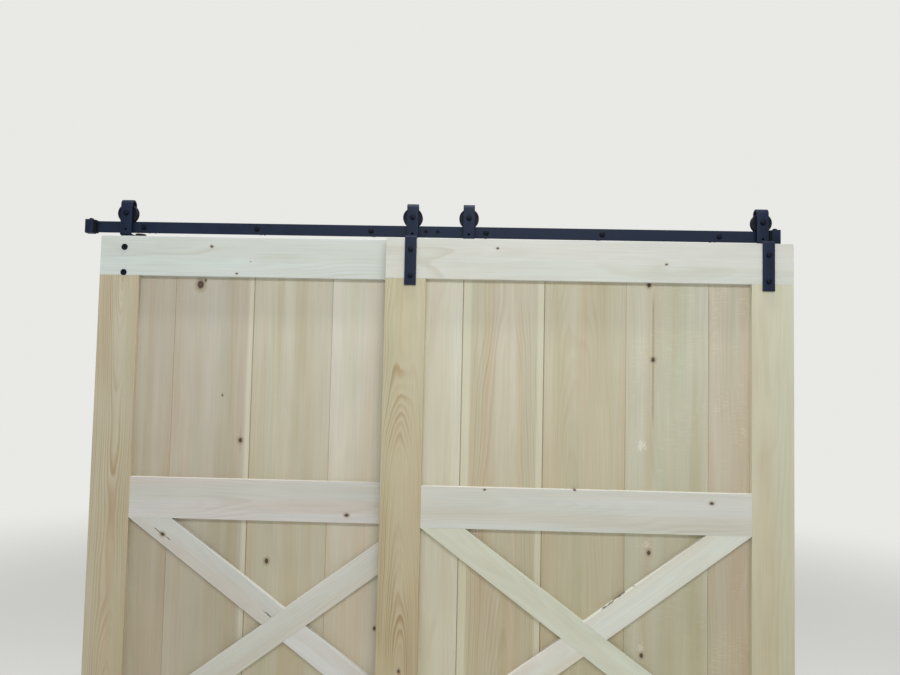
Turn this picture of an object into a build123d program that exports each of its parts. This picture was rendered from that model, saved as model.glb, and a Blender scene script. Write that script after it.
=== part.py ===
from build123d import *
from math import asin, atan2, cos, hypot, pi, radians, sin, sqrt, tan
import os

# Two sliding barn door leaves with X braces, hung from one flat rail so that they pass each other
# Origin on the wall plane in the middle of the row of wall screws, +X right along the rail,
# +Y into the wall and +Z up, all in millimetres

# Rail and its wall screws
RAIL_LENGTH = 2438.4
RAIL_HEIGHT = 40.0
RAIL_THICKNESS = 6.0
RAIL_JOINT_X = 12.0
RAIL_EASED_EDGE = 0.8
WALL_SCREW_SPACING = 406.4
WALL_SCREW_FROM_RAIL_END = 60.0
WALL_SCREW_DIAMETER = 8.0
WALL_SCREW_SHANK = 7.0
WALL_SCREW_IN_WALL = 55.0
WALL_SCREW_TIP = 8.0
WALL_SCREW_FLANGE = 20.0
WALL_SCREW_FLANGE_HEIGHT = 1.6
WALL_SCREW_HEX = 13.0
WALL_SCREW_HEX_HEIGHT = 4.8
SPACER_LENGTH = 45.0
SPACER_DIAMETER = 25.0
SPACER_EASED_EDGE = 0.8
HOLE_CLEARANCE = 0.25
THREAD_CLEARANCE = 0.05
HEX_CORNER_ANGLE = 30.0

# Joiner plate behind the joint of the two rail halves
JOINER_LENGTH = 90.0
JOINER_HEIGHT = 24.0
JOINER_BELOW_RAIL_MIDDLE = 4.0
JOINER_THICKNESS = 5.0
JOINER_SCREW_SPACING = 42.0
JOINER_SCREW_DIAMETER = 8.0
JOINER_SCREW_HEAD = 14.0
JOINER_SCREW_SOCKET = 5.0
JOINER_SCREW_SOCKET_DEPTH = 2.4

# End stops and their rubber pads
STOP_WIDTH = 29.0
STOP_HEIGHT = 49.0
STOP_FRONT_WALL = 14.0
STOP_BACK_WALL = 7.0
STOP_END_WALL = 3.0
STOP_EDGE_RADIUS = 1.5
STOP_SLOT_CLEARANCE = 0.3
STOP_SCREW_DIAMETER = 8.0
STOP_SCREW_HEAD = 15.0
STOP_SCREW_HEAD_HEIGHT = 5.5
STOP_SCREW_EASED_EDGE = 1.0
STOP_SCREW_SOCKET = 5.0
STOP_SCREW_SOCKET_DEPTH = 3.0
PAD_THICKNESS = 10.0
PAD_INSET = 2.0
PAD_EDGE_RADIUS = 1.5

# Door leaves
LEAF_WIDTH = 1386.0
LEAF_HEIGHT = 1828.8
FRAME_BOARD_WIDTH = 139.7
FRAME_BOARD_THICKNESS = 19.0
BRACE_WIDTH = 89.0
PANEL_THICKNESS = 19.0
PANEL_BOARD_COUNT = 5
PANEL_RIPPED_BOARD = 268.4
TONGUE_THICKNESS = 6.0
TONGUE_LENGTH = 6.5
TONGUE_CLEARANCE = 0.4
SEAM_GAP = 0.6
EASED_EDGE = 0.6
LEAF_TO_LEAF_GAP = 7.0
LEAF_TOP_BELOW_RAIL = 14.0
REAR_WHEEL_FROM_PAD = 86.4

# Hanger straps bent over the wheels
STRAP_WIDTH = 40.0
STRAP_THICKNESS = 6.0
STRAP_LEG_GAP = 27.0
STRAP_TOP_ABOVE_AXLE = 49.5
STRAP_BACK_LEG_BELOW_AXLE = 20.0
STRAP_TOP_INSIDE_BEND = 13.0
STRAP_SHELF_INSIDE_BEND = 2.5
STRAP_EASED_EDGE = 0.8
STRAP_LENGTH_ON_LEAF = 163.0
SPARE_HOLE_DIAMETER = 8.5
SPARE_HOLE_BELOW_RAIL_MIDDLE = 10.0
HANGER_INSET = 85.0
STRAP_UPPER_BOLT_BELOW_LEAF_TOP = 40.0
STRAP_LOWER_BOLT_BELOW_LEAF_TOP = 130.0
STRAP_BOLT_DIAMETER = 8.0
STRAP_BOLT_HEX = 16.0
STRAP_BOLT_HEAD_HEIGHT = 5.5
STRAP_BOLT_IN_LEAF = 27.0
BARREL_NUT_FLANGE = 22.0
BARREL_NUT_FLANGE_HEIGHT = 2.4
BARREL_NUT_DIAMETER = 11.0
BARREL_NUT_LENGTH = 29.0
BARREL_NUT_SPARE_THREAD = 2.0
BARREL_NUT_SOCKET = 5.0
BARREL_NUT_SOCKET_DEPTH = 2.0
BARREL_NUT_ROUNDING = 1.0

# Wheels, ball bearings and axles
WHEEL_DIAMETER = 69.0
WHEEL_WIDTH = 22.0
WHEEL_TREAD_RADIUS = 28.0
WHEEL_TREAD_WIDTH = 7.2
WHEEL_GROOVE_MOUTH = 13.0
WHEEL_ON_RAIL_CLEARANCE = 0.3
WHEEL_EASED_EDGE = 1.2
WHEEL_HUB_RADIUS = 18.0
WHEEL_RIM_WIDTH = 5.0
WHEEL_DISH_DEPTH = 2.0
BEARING_DIAMETER = 26.0
BEARING_WIDTH = 8.0
BEARING_SHOULDER = 2.0
BEARING_RING_WALL = 2.4
BEARING_SEAT_CLEARANCE = 0.02
BALL_DIAMETER = 4.0
BALL_COUNT = 7
BALL_CLEARANCE = 0.1
SHIELD_THICKNESS = 0.6
SHIELD_CLEARANCE = 0.4
SLEEVE_DIAMETER = 14.8
AXLE_DIAMETER = 10.0
AXLE_HEX = 17.0
AXLE_HEAD_HEIGHT = 6.4
AXLE_NUT_HEIGHT = 6.0
AXLE_THREAD_PAST_NUT = 2.0

# Discs on top of the rear leaf that keep its wheels from jumping off the rail
DISC_DIAMETER = 36.0
DISC_THICKNESS = 9.0
DISC_FROM_HANGER = 47.0
DISC_EASED_EDGE = 1.0
DISC_SCREW_DIAMETER = 4.5
DISC_SCREW_HEAD = 9.0
DISC_SCREW_LENGTH = 34.0
DISC_SCREW_TIP = 5.0

# Places that follow from the sizes
RAIL_BACK = -SPACER_LENGTH
RAIL_MIDDLE = RAIL_BACK - RAIL_THICKNESS / 2
RAIL_FRONT = RAIL_BACK - RAIL_THICKNESS
RAIL_TOP = RAIL_HEIGHT / 2
WHEEL_RADIUS = WHEEL_DIAMETER / 2
AXLE_Z = RAIL_TOP + WHEEL_ON_RAIL_CLEARANCE + WHEEL_TREAD_RADIUS
LEG_CENTRE = (STRAP_LEG_GAP + STRAP_THICKNESS) / 2
LEG_OUTSIDE = STRAP_LEG_GAP / 2 + STRAP_THICKNESS
STRAP_TOP_CENTRE = AXLE_Z + STRAP_TOP_ABOVE_AXLE - STRAP_THICKNESS / 2
LEAF_TOP = -RAIL_HEIGHT / 2 - LEAF_TOP_BELOW_RAIL
SHELF_CENTRE = LEAF_TOP + STRAP_SHELF_INSIDE_BEND + STRAP_THICKNESS / 2
LEAF_THICKNESS = FRAME_BOARD_THICKNESS + PANEL_THICKNESS
REAR_LEAF_FRONT = RAIL_MIDDLE - LEG_OUTSIDE
REAR_LEAF_BACK = REAR_LEAF_FRONT + LEAF_THICKNESS
FRONT_LEAF_FRONT = REAR_LEAF_FRONT - LEAF_TO_LEAF_GAP - LEAF_THICKNESS
INSIDE_WIDTH = LEAF_WIDTH - 2 * FRAME_BOARD_WIDTH
BAY_HEIGHT = (LEAF_HEIGHT - 3 * FRAME_BOARD_WIDTH) / 2
HANGER_SPAN = LEAF_WIDTH - 2 * HANGER_INSET
STOP_OUTSIDE_X = RAIL_LENGTH / 2 + STOP_END_WALL
STOP_INSIDE_X = STOP_OUTSIDE_X - STOP_WIDTH
PAD_FACE_X = STOP_INSIDE_X - PAD_THICKNESS
PAD_TOP = STOP_HEIGHT / 2 - PAD_INSET
AXLE_FROM_PAD = sqrt(WHEEL_RADIUS ** 2 - (AXLE_Z - PAD_TOP) ** 2)
FRONT_LEAF_X = PAD_FACE_X - WHEEL_ON_RAIL_CLEARANCE - AXLE_FROM_PAD - HANGER_SPAN - HANGER_INSET
REAR_LEAF_X = REAR_WHEEL_FROM_PAD + AXLE_FROM_PAD - PAD_FACE_X - HANGER_INSET
BALL_CIRCLE = (SLEEVE_DIAMETER / 2 + BEARING_DIAMETER / 2 - BEARING_RING_WALL) / 2


# Shapes that several pieces share

def flat_piece(outline, front, depth):
    """Piece with an outline drawn in X and Z, from its front face back."""
    return extrude(Plane.XZ.offset(-front) * outline, amount=depth, dir=(0, 1, 0))


def turned(points):
    """Piece turned about the Y axis from the corners of its half section."""
    return revolve(make_face(Polyline(*points, close=True)), axis=Axis.Y)


def bar_along_y(radius, front, back):
    """Round bar on the Y axis between two depths."""
    return Pos(0, (front + back) / 2, 0) * Rot(X=90) * Cylinder(radius, back - front)


def hex_outline(across_flats):
    """Hexagon with the given width across its flats."""
    return RegularPolygon(across_flats / 2, 6, major_radius=False)


def hex_head(across_flats, height):
    """Hexagon head standing forward of Y = 0, with its front corners turned off."""
    flat_radius = across_flats / 2
    corner_radius = flat_radius / cos(pi / 6)
    corner_drop = (corner_radius - flat_radius) * tan(radians(HEX_CORNER_ANGLE))
    envelope = turned([
        (0, -height),
        (flat_radius, -height),
        (corner_radius, corner_drop - height),
        (corner_radius, 0),
        (0, 0),
    ])
    return flat_piece(hex_outline(across_flats), -height, height) & envelope


def countersunk_screw(diameter, head, length, tip=0.0):
    """Countersunk screw on the Y axis with its head face at Y = 0."""
    radius = diameter / 2
    cone_end = head / 2 - radius
    return turned([(0, 0), (head / 2, 0), (radius, cone_end), (radius, length - tip), (0, length)])


def countersunk_hole(diameter, head, depth):
    """Tool body for a countersunk hole on the Y axis, entered at Y = 0."""
    return countersunk_screw(diameter + 2 * HOLE_CLEARANCE, head + 2 * HOLE_CLEARANCE, depth)


def upright_cylinder(diameter, height):
    """Upright cylinder that stands on Z = 0."""
    return Cylinder(diameter / 2, height, align=(Align.CENTER, Align.CENTER, Align.MIN))


def copies(piece, places):
    """Group of equal, separate pieces set at the given places."""
    return Compound(children=[place * piece for place in places])


# Rail, joiner, spacers and wall screws

def wall_screw_places(y):
    """Places of the wall screws at one depth, as many on each side of the middle as the rail can take."""
    room = RAIL_LENGTH / 2 - WALL_SCREW_FROM_RAIL_END + WALL_SCREW_SPACING / 2
    pairs = int(room // WALL_SCREW_SPACING)
    return [Pos((index + 0.5) * WALL_SCREW_SPACING, y, 0) for index in range(-pairs, pairs)]


def joiner_screw_places(y):
    """Places of the joiner screws at one depth."""
    return [Pos(RAIL_JOINT_X + side * JOINER_SCREW_SPACING / 2, y, 0) for side in (-1, 1)]


def rail_piece(start, end):
    """Half of the flat rail with its screw holes."""
    bar = Pos((start + end) / 2, RAIL_MIDDLE, 0) * Box(end - start, RAIL_THICKNESS, RAIL_HEIGHT)
    bar = chamfer(bar.edges().filter_by(Axis.X), RAIL_EASED_EDGE)
    screw_hole = bar_along_y(WALL_SCREW_DIAMETER / 2 + HOLE_CLEARANCE, 0, RAIL_THICKNESS)
    for place in wall_screw_places(RAIL_FRONT):
        if start < place.position.X < end:
            bar -= place * screw_hole
    joiner_hole = countersunk_hole(JOINER_SCREW_DIAMETER, JOINER_SCREW_HEAD, RAIL_THICKNESS)
    for place in joiner_screw_places(RAIL_FRONT):
        if start < place.position.X < end:
            bar -= place * joiner_hole
    return bar


def rail_joiner():
    """Plate with tapped holes behind the joint of the rail, low enough for the wheels to pass."""
    outline = Pos(RAIL_JOINT_X, -JOINER_BELOW_RAIL_MIDDLE) * Rectangle(JOINER_LENGTH, JOINER_HEIGHT)
    plate = flat_piece(outline, RAIL_BACK, JOINER_THICKNESS)
    tapped = bar_along_y(JOINER_SCREW_DIAMETER / 2 + THREAD_CLEARANCE, 0, JOINER_THICKNESS)
    for place in joiner_screw_places(RAIL_BACK):
        plate -= place * tapped
    return chamfer(plate.faces().sort_by(Axis.Y)[-1].outer_wire().edges(), RAIL_EASED_EDGE)


def joiner_screw():
    """Countersunk socket screw through the rail and the joiner."""
    screw = countersunk_screw(JOINER_SCREW_DIAMETER, JOINER_SCREW_HEAD, RAIL_THICKNESS + JOINER_THICKNESS)
    return screw - flat_piece(hex_outline(JOINER_SCREW_SOCKET), 0, JOINER_SCREW_SOCKET_DEPTH)


def wall_spacer():
    """Tube that holds the rail off the wall, from Y = 0 back, slim enough for the wheels to pass."""
    tube = bar_along_y(SPACER_DIAMETER / 2, 0, SPACER_LENGTH)
    tube = chamfer(tube.edges().filter_by(GeomType.CIRCLE), SPACER_EASED_EDGE)
    return tube - bar_along_y(WALL_SCREW_DIAMETER / 2 + HOLE_CLEARANCE, 0, SPACER_LENGTH)


def wall_screw():
    """Lag screw with a flanged hexagon head that seats at Y = 0 and a slimmer shank up to the wall."""
    flange_radius = WALL_SCREW_FLANGE / 2
    shank_radius = WALL_SCREW_SHANK / 2
    thread_radius = WALL_SCREW_DIAMETER / 2
    wall = RAIL_THICKNESS + SPACER_LENGTH
    length = wall + WALL_SCREW_IN_WALL
    shank = turned([
        (0, -WALL_SCREW_FLANGE_HEIGHT),
        (flange_radius - WALL_SCREW_FLANGE_HEIGHT, -WALL_SCREW_FLANGE_HEIGHT),
        (flange_radius, -WALL_SCREW_FLANGE_HEIGHT / 2),
        (flange_radius, 0),
        (shank_radius, 0),
        (shank_radius, wall),
        (thread_radius, wall),
        (thread_radius, length - WALL_SCREW_TIP),
        (0, length),
    ])
    head = Pos(0, -WALL_SCREW_FLANGE_HEIGHT, 0) * hex_head(WALL_SCREW_HEX, WALL_SCREW_HEX_HEIGHT)
    return shank + head


# End stops

def rail_slot(start, end):
    """Tool body for the slot that the rail end lies in."""
    depth = RAIL_THICKNESS + 2 * STOP_SLOT_CLEARANCE
    height = RAIL_HEIGHT + 2 * STOP_SLOT_CLEARANCE
    return Pos((start + end) / 2, RAIL_MIDDLE, 0) * Box(end - start, depth, height)


def end_stop():
    """Block that wraps the right end of the rail."""
    front = RAIL_FRONT - STOP_FRONT_WALL
    outline = Pos((STOP_INSIDE_X + STOP_OUTSIDE_X) / 2, 0) * Rectangle(STOP_WIDTH, STOP_HEIGHT)
    block = flat_piece(outline, front, STOP_FRONT_WALL + RAIL_THICKNESS + STOP_BACK_WALL)
    block = fillet(block.edges(), STOP_EDGE_RADIUS)
    block -= rail_slot(STOP_INSIDE_X, RAIL_LENGTH / 2 + STOP_SLOT_CLEARANCE)
    tapped_hole = upright_cylinder(STOP_SCREW_DIAMETER + 2 * THREAD_CLEARANCE, STOP_HEIGHT)
    return block - stop_screw_place() * tapped_hole


def stop_screw_place():
    """Place on the rail's top edge where the screw of the right end stop presses."""
    return Pos((STOP_INSIDE_X + STOP_OUTSIDE_X) / 2, RAIL_MIDDLE, RAIL_TOP)


def end_stop_screw():
    """Socket screw that clamps the right end stop on the rail's top edge."""
    shank_length = STOP_HEIGHT / 2 - RAIL_TOP
    shank = upright_cylinder(STOP_SCREW_DIAMETER, shank_length)
    head = upright_cylinder(STOP_SCREW_HEAD, STOP_SCREW_HEAD_HEIGHT)
    head = chamfer(head.edges().filter_by(GeomType.CIRCLE).sort_by(Axis.Z)[-1], STOP_SCREW_EASED_EDGE)
    socket = extrude(hex_outline(STOP_SCREW_SOCKET), amount=-STOP_SCREW_SOCKET_DEPTH)
    head -= Pos(0, 0, STOP_SCREW_HEAD_HEIGHT) * socket
    return stop_screw_place() * (shank + Pos(0, 0, shank_length) * head)


def stop_pad():
    """Rubber pad on the inside face of the right end stop."""
    depth = STOP_FRONT_WALL + RAIL_THICKNESS + STOP_BACK_WALL - 2 * PAD_INSET
    outline = Pos((PAD_FACE_X + STOP_INSIDE_X) / 2, 0) * Rectangle(PAD_THICKNESS, 2 * PAD_TOP)
    pad = flat_piece(outline, RAIL_FRONT - STOP_FRONT_WALL + PAD_INSET, depth)
    pad = fillet(pad.faces().sort_by(Axis.X)[0].edges(), PAD_EDGE_RADIUS)
    return pad - rail_slot(PAD_FACE_X, STOP_INSIDE_X)


def both_ends(piece):
    """Piece at the right end of the rail and its mirror image at the left end."""
    return Compound(children=[mirror(piece, about=Plane.YZ), piece])


# Door leaf, drawn from its top left front corner

def strap_bolt_heights():
    """Heights of the bolts of one strap from the top of its leaf."""
    return [-STRAP_UPPER_BOLT_BELOW_LEAF_TOP, -STRAP_LOWER_BOLT_BELOW_LEAF_TOP]


def strap_bolt_points():
    """Centres of the strap bolts on a leaf, in X and Z."""
    return [(x, z) for x in (HANGER_INSET, LEAF_WIDTH - HANGER_INSET) for z in strap_bolt_heights()]


def disc_points():
    """Centres of the discs along a leaf, each beside a hanger towards the middle."""
    return [HANGER_INSET + DISC_FROM_HANGER, LEAF_WIDTH - HANGER_INSET - DISC_FROM_HANGER]


def plank(outline):
    """Frame board with eased edges on its front face."""
    board = flat_piece(outline, 0, FRAME_BOARD_THICKNESS)
    return chamfer(board.faces().sort_by(Axis.Y)[0].edges(), EASED_EDGE)


def frame_boards():
    """Rails and stiles of the leaf's face, by name."""
    width = FRAME_BOARD_WIDTH
    full_board = Rectangle(LEAF_WIDTH, width)
    stile = Rectangle(width, LEAF_HEIGHT - 2 * width)
    middle = LEAF_WIDTH / 2
    return {
        "top_rail": plank(Pos(middle, -width / 2) * full_board),
        "mid_rail": plank(Pos(middle, -LEAF_HEIGHT / 2) * Rectangle(INSIDE_WIDTH, width)),
        "bottom_rail": plank(Pos(middle, width / 2 - LEAF_HEIGHT) * full_board),
        "left_stile": plank(Pos(width / 2, -LEAF_HEIGHT / 2) * stile),
        "right_stile": plank(Pos(LEAF_WIDTH - width / 2, -LEAF_HEIGHT / 2) * stile),
    }


def brace_band():
    """Outline of a brace that falls to the right across the lower bay, cut level at both ends."""
    angle = atan2(BAY_HEIGHT, INSIDE_WIDTH) + asin(BRACE_WIDTH / hypot(INSIDE_WIDTH, BAY_HEIGHT))
    cut = BRACE_WIDTH / sin(angle)
    left = -INSIDE_WIDTH / 2
    top = BAY_HEIGHT / 2
    return Polygon((left, top), (left + cut, top), (-left, -top), (-left - cut, -top), align=None)


def braces(long_falls):
    """One brace in full length and two halves that meet its edges, by name."""
    falling = brace_band()
    rising = mirror(falling, about=Plane.YZ)
    full, crossed = (falling, rising) if long_falls else (rising, falling)
    lower, upper = (crossed - full).faces().sort_by(Axis.Y)
    bay = Pos(LEAF_WIDTH / 2, -LEAF_HEIGHT + FRAME_BOARD_WIDTH + BAY_HEIGHT / 2)
    return {
        "long_brace": plank(bay * full),
        "upper_half_brace": plank(bay * upper),
        "lower_half_brace": plank(bay * lower),
    }


def panel_seams():
    """Places of the panel's board edges from the left, the first board ripped narrower."""
    full_boards = PANEL_BOARD_COUNT - 1
    cover = (LEAF_WIDTH - PANEL_RIPPED_BOARD) / full_boards
    return [0.0] + [PANEL_RIPPED_BOARD + index * cover for index in range(full_boards + 1)]


def board_section(start, end, grooved, tongued):
    """Section of a tongue and groove board, in X and Y."""
    front = FRAME_BOARD_THICKNESS
    middle = (front + LEAF_THICKNESS) / 2
    corners = [(start, LEAF_THICKNESS), (start, front + EASED_EDGE), (start + EASED_EDGE, front)]
    corners += [(end - EASED_EDGE, front), (end, front + EASED_EDGE), (end, LEAF_THICKNESS)]
    section = make_face(Polyline(*corners, close=True))
    if tongued:
        section += Pos(end, middle) * tongue_section(TONGUE_LENGTH, TONGUE_THICKNESS)
    if grooved:
        length = TONGUE_LENGTH + TONGUE_CLEARANCE
        section -= Pos(start, middle) * tongue_section(length, TONGUE_THICKNESS + 2 * TONGUE_CLEARANCE)
    return section


def tongue_section(length, thickness):
    """Section of a tongue that stands to the right of the origin."""
    return Rectangle(length, thickness, align=(Align.MIN, Align.CENTER))


def panel_boards():
    """Upright tongue and groove boards behind the frame, by name."""
    seams = panel_seams()
    last = PANEL_BOARD_COUNT - 1
    boards = {}
    for index, (start, end) in enumerate(zip(seams, seams[1:])):
        start += SEAM_GAP / 2 if index else 0
        end -= SEAM_GAP / 2 if index < last else 0
        section = board_section(start, end, index > 0, index < last)
        boards[f"panel_board_{index + 1}"] = extrude(section, amount=LEAF_HEIGHT, dir=(0, 0, -1))
    return boards


def leaf_boards(under_rail):
    """All boards of a leaf, drilled for the strap bolts and, under the rail, the disc screws."""
    boards = frame_boards() | braces(long_falls=not under_rail) | panel_boards()
    bolt_hole = bar_along_y(BARREL_NUT_DIAMETER / 2 + HOLE_CLEARANCE, 0, LEAF_THICKNESS)
    holes = [Pos(x, 0, z) * bolt_hole for x, z in strap_bolt_points()]
    if under_rail:
        pilot = Rot(X=180) * upright_cylinder(DISC_SCREW_DIAMETER + 2 * THREAD_CLEARANCE, DISC_SCREW_LENGTH)
        holes += [Pos(x, RAIL_MIDDLE - REAR_LEAF_FRONT, 0) * pilot for x in disc_points()]
    return {name: board - holes for name, board in boards.items()}


# Hangers

def shifted_line(points, bend_radii, distance):
    """Rounded line beside a bent line, to its left by the distance given."""
    line = [Vector(*point) for point in points]
    headings = [(after - before).normalized() for before, after in zip(line, line[1:])]
    normals = [Vector(-heading.Y, heading.X) for heading in headings]
    corners = [line[0] + normals[0] * distance]
    radii = []
    for index, radius in enumerate(bend_radii):
        first, second = normals[index], normals[index + 1]
        corners.append(line[index + 1] + (first + second) * (distance / (1 + first.dot(second))))
        turn = headings[index].cross(headings[index + 1]).Z
        radii.append(radius - distance if turn > 0 else radius + distance)
    corners.append(line[-1] + normals[-1] * distance)
    return FilletPolyline(*corners, radius=radii)


def bent_bar(points, bend_radii):
    """Flat bar bent along a line in Y and Z, its middle on X = 0."""
    left = shifted_line(points, bend_radii, STRAP_THICKNESS / 2)
    right = shifted_line(points, bend_radii, -STRAP_THICKNESS / 2)
    outline = left + right + Line(left @ 0, right @ 0) + Line(left @ 1, right @ 1)
    bar = extrude(Plane.YZ.offset(-STRAP_WIDTH / 2) * make_face(outline), amount=STRAP_WIDTH)
    sides = bar.faces().filter_by(Axis.X)
    return chamfer(sides.edges(), STRAP_EASED_EDGE)


def hanger(strap_back_face, leaf_face):
    """Strap over the wheel that steps under the rail to the face of its leaf."""
    low_y = (strap_back_face + leaf_face) / 2
    top_bend = STRAP_TOP_INSIDE_BEND + STRAP_THICKNESS / 2
    shelf_bend = STRAP_SHELF_INSIDE_BEND + STRAP_THICKNESS / 2
    path = [
        (RAIL_MIDDLE + LEG_CENTRE, AXLE_Z - STRAP_BACK_LEG_BELOW_AXLE),
        (RAIL_MIDDLE + LEG_CENTRE, STRAP_TOP_CENTRE),
        (RAIL_MIDDLE - LEG_CENTRE, STRAP_TOP_CENTRE),
        (RAIL_MIDDLE - LEG_CENTRE, SHELF_CENTRE),
        (low_y, SHELF_CENTRE),
        (low_y, LEAF_TOP - STRAP_LENGTH_ON_LEAF),
    ]
    strap = bent_bar(path, [top_bend, top_bend, shelf_bend, shelf_bend])
    axle_hole = bar_along_y(AXLE_DIAMETER / 2 + HOLE_CLEARANCE, -LEG_OUTSIDE, LEG_OUTSIDE)
    spare_hole = bar_along_y(SPARE_HOLE_DIAMETER / 2, -LEG_OUTSIDE, -STRAP_LEG_GAP / 2)
    half = STRAP_THICKNESS / 2
    bolt_hole = bar_along_y(STRAP_BOLT_DIAMETER / 2 + HOLE_CLEARANCE, -half, half)
    strap -= Pos(0, RAIL_MIDDLE, AXLE_Z) * axle_hole
    strap -= Pos(0, RAIL_MIDDLE, -SPARE_HOLE_BELOW_RAIL_MIDDLE) * spare_hole
    return strap - [Pos(0, low_y, LEAF_TOP + height) * bolt_hole for height in strap_bolt_heights()]


def strap_bolt():
    """Hexagon bolt whose head seats on the strap at Y = 0."""
    shank = bar_along_y(STRAP_BOLT_DIAMETER / 2, 0, STRAP_THICKNESS + STRAP_BOLT_IN_LEAF)
    return shank + hex_head(STRAP_BOLT_HEX, STRAP_BOLT_HEAD_HEIGHT)


def barrel_nut():
    """Sleeve nut with a round flange, reached by a bolt whose strap face is at Y = 0."""
    far_face = STRAP_THICKNESS + LEAF_THICKNESS
    bore_end = STRAP_THICKNESS + STRAP_BOLT_IN_LEAF + BARREL_NUT_SPARE_THREAD
    bore = STRAP_BOLT_DIAMETER / 2 + THREAD_CLEARANCE
    barrel = BARREL_NUT_DIAMETER / 2
    flange = BARREL_NUT_FLANGE / 2
    top = far_face + BARREL_NUT_FLANGE_HEIGHT
    nut = turned([
        (bore, far_face - BARREL_NUT_LENGTH),
        (barrel, far_face - BARREL_NUT_LENGTH),
        (barrel, far_face),
        (flange, far_face),
        (flange, top - BARREL_NUT_ROUNDING),
        (flange - 2 * BARREL_NUT_ROUNDING, top),
        (0, top),
        (0, bore_end),
        (bore, bore_end),
    ])
    depth = BARREL_NUT_SOCKET_DEPTH
    return nut - flat_piece(hex_outline(BARREL_NUT_SOCKET), top - depth, depth)


# Wheels and bearings, drawn about the Y axis

def wheel():
    """Grooved wheel with dished faces and a stepped bore for its bearing."""
    half = WHEEL_WIDTH / 2
    seat = BEARING_DIAMETER / 2
    dish = half - WHEEL_DISH_DEPTH
    rim_inside = WHEEL_RADIUS - WHEEL_RIM_WIDTH
    front_half = [
        (WHEEL_HUB_RADIUS, -half),
        (WHEEL_HUB_RADIUS, -dish),
        (rim_inside, -dish),
        (rim_inside, -half),
        (WHEEL_RADIUS, -half),
        (WHEEL_RADIUS, -WHEEL_GROOVE_MOUTH / 2),
        (WHEEL_TREAD_RADIUS, -WHEEL_TREAD_WIDTH / 2),
    ]
    back_half = [(radius, -y) for radius, y in reversed(front_half)]
    bore = [
        (seat - BEARING_SHOULDER, half),
        (seat - BEARING_SHOULDER, BEARING_WIDTH / 2),
        (seat, BEARING_WIDTH / 2),
        (seat, -half),
    ]
    section = make_face(Polyline(*front_half, *back_half, *bore, close=True))
    rim_corners = section.vertices().filter_by(lambda corner: corner.X > rim_inside + WHEEL_EASED_EDGE)
    return revolve(chamfer(rim_corners, WHEEL_EASED_EDGE), axis=Axis.Y)


def ball_track():
    """Tool body for the ball grooves of a bearing."""
    return Rot(X=90) * Torus(BALL_CIRCLE, BALL_DIAMETER / 2 + BALL_CLEARANCE)


def bearing():
    """Outer ring, balls and two shields of a wheel's ball bearing."""
    outside = BEARING_DIAMETER / 2 - BEARING_SEAT_CLEARANCE
    inside = BEARING_DIAMETER / 2 - BEARING_RING_WALL
    half = BEARING_WIDTH / 2
    shield_inside = SLEEVE_DIAMETER / 2 + SHIELD_CLEARANCE
    ring = turned([(inside, -half), (outside, -half), (outside, half), (inside, half)]) - ball_track()
    shield = turned([
        (shield_inside, -half),
        (inside, -half),
        (inside, SHIELD_THICKNESS - half),
        (shield_inside, SHIELD_THICKNESS - half),
    ])
    balls = [
        Rot(Y=360 * index / BALL_COUNT) * Pos(BALL_CIRCLE, 0, 0) * Sphere(BALL_DIAMETER / 2)
        for index in range(BALL_COUNT)
    ]
    return Compound(children=[ring, shield, mirror(shield, about=Plane.XZ), *balls])


def bearing_sleeve():
    """Inner ring of the bearing, long enough to reach both legs of the strap."""
    bore = AXLE_DIAMETER / 2 + THREAD_CLEARANCE
    half = STRAP_LEG_GAP / 2
    outside = SLEEVE_DIAMETER / 2
    return turned([(bore, -half), (outside, -half), (outside, half), (bore, half)]) - ball_track()


def axle_bolt():
    """Hexagon bolt through both legs of the strap."""
    end = LEG_OUTSIDE + AXLE_NUT_HEIGHT + AXLE_THREAD_PAST_NUT
    head = Pos(0, -LEG_OUTSIDE, 0) * hex_head(AXLE_HEX, AXLE_HEAD_HEIGHT)
    return head + bar_along_y(AXLE_DIAMETER / 2, -LEG_OUTSIDE, end)


def axle_nut():
    """Hexagon nut behind the back leg of the strap."""
    nut = Pos(0, LEG_OUTSIDE, 0) * Rot(Z=180) * hex_head(AXLE_HEX, AXLE_NUT_HEIGHT)
    bore = AXLE_DIAMETER / 2 + THREAD_CLEARANCE
    return nut - bar_along_y(bore, LEG_OUTSIDE, LEG_OUTSIDE + AXLE_NUT_HEIGHT)


# Discs on top of the rear leaf

def anti_jump_disc():
    """Disc on the XY plane with a countersunk hole from above."""
    disc = upright_cylinder(DISC_DIAMETER, DISC_THICKNESS)
    disc = chamfer(disc.edges().filter_by(GeomType.CIRCLE), DISC_EASED_EDGE)
    hole = countersunk_hole(DISC_SCREW_DIAMETER, DISC_SCREW_HEAD, DISC_THICKNESS)
    return disc - Pos(0, 0, DISC_THICKNESS) * Rot(X=-90) * hole


def anti_jump_screw():
    """Countersunk wood screw with its head in the top of a disc."""
    screw = countersunk_screw(DISC_SCREW_DIAMETER, DISC_SCREW_HEAD, DISC_SCREW_LENGTH, DISC_SCREW_TIP)
    return Pos(0, 0, DISC_THICKNESS) * Rot(X=-90) * screw


# Assembly

def track_parts():
    """Everything that stays on the wall, by name."""
    return {
        "rail_left": rail_piece(-RAIL_LENGTH / 2, RAIL_JOINT_X),
        "rail_right": rail_piece(RAIL_JOINT_X, RAIL_LENGTH / 2),
        "rail_joiner": rail_joiner(),
        "joiner_screws": copies(joiner_screw(), joiner_screw_places(RAIL_FRONT)),
        "wall_spacers": copies(wall_spacer(), wall_screw_places(RAIL_BACK)),
        "wall_screws": copies(wall_screw(), wall_screw_places(RAIL_FRONT)),
        "end_stop_left": mirror(end_stop(), about=Plane.YZ),
        "end_stop_right": end_stop(),
        "end_stop_screws": both_ends(end_stop_screw()),
        "stop_pads": both_ends(stop_pad()),
    }


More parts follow.
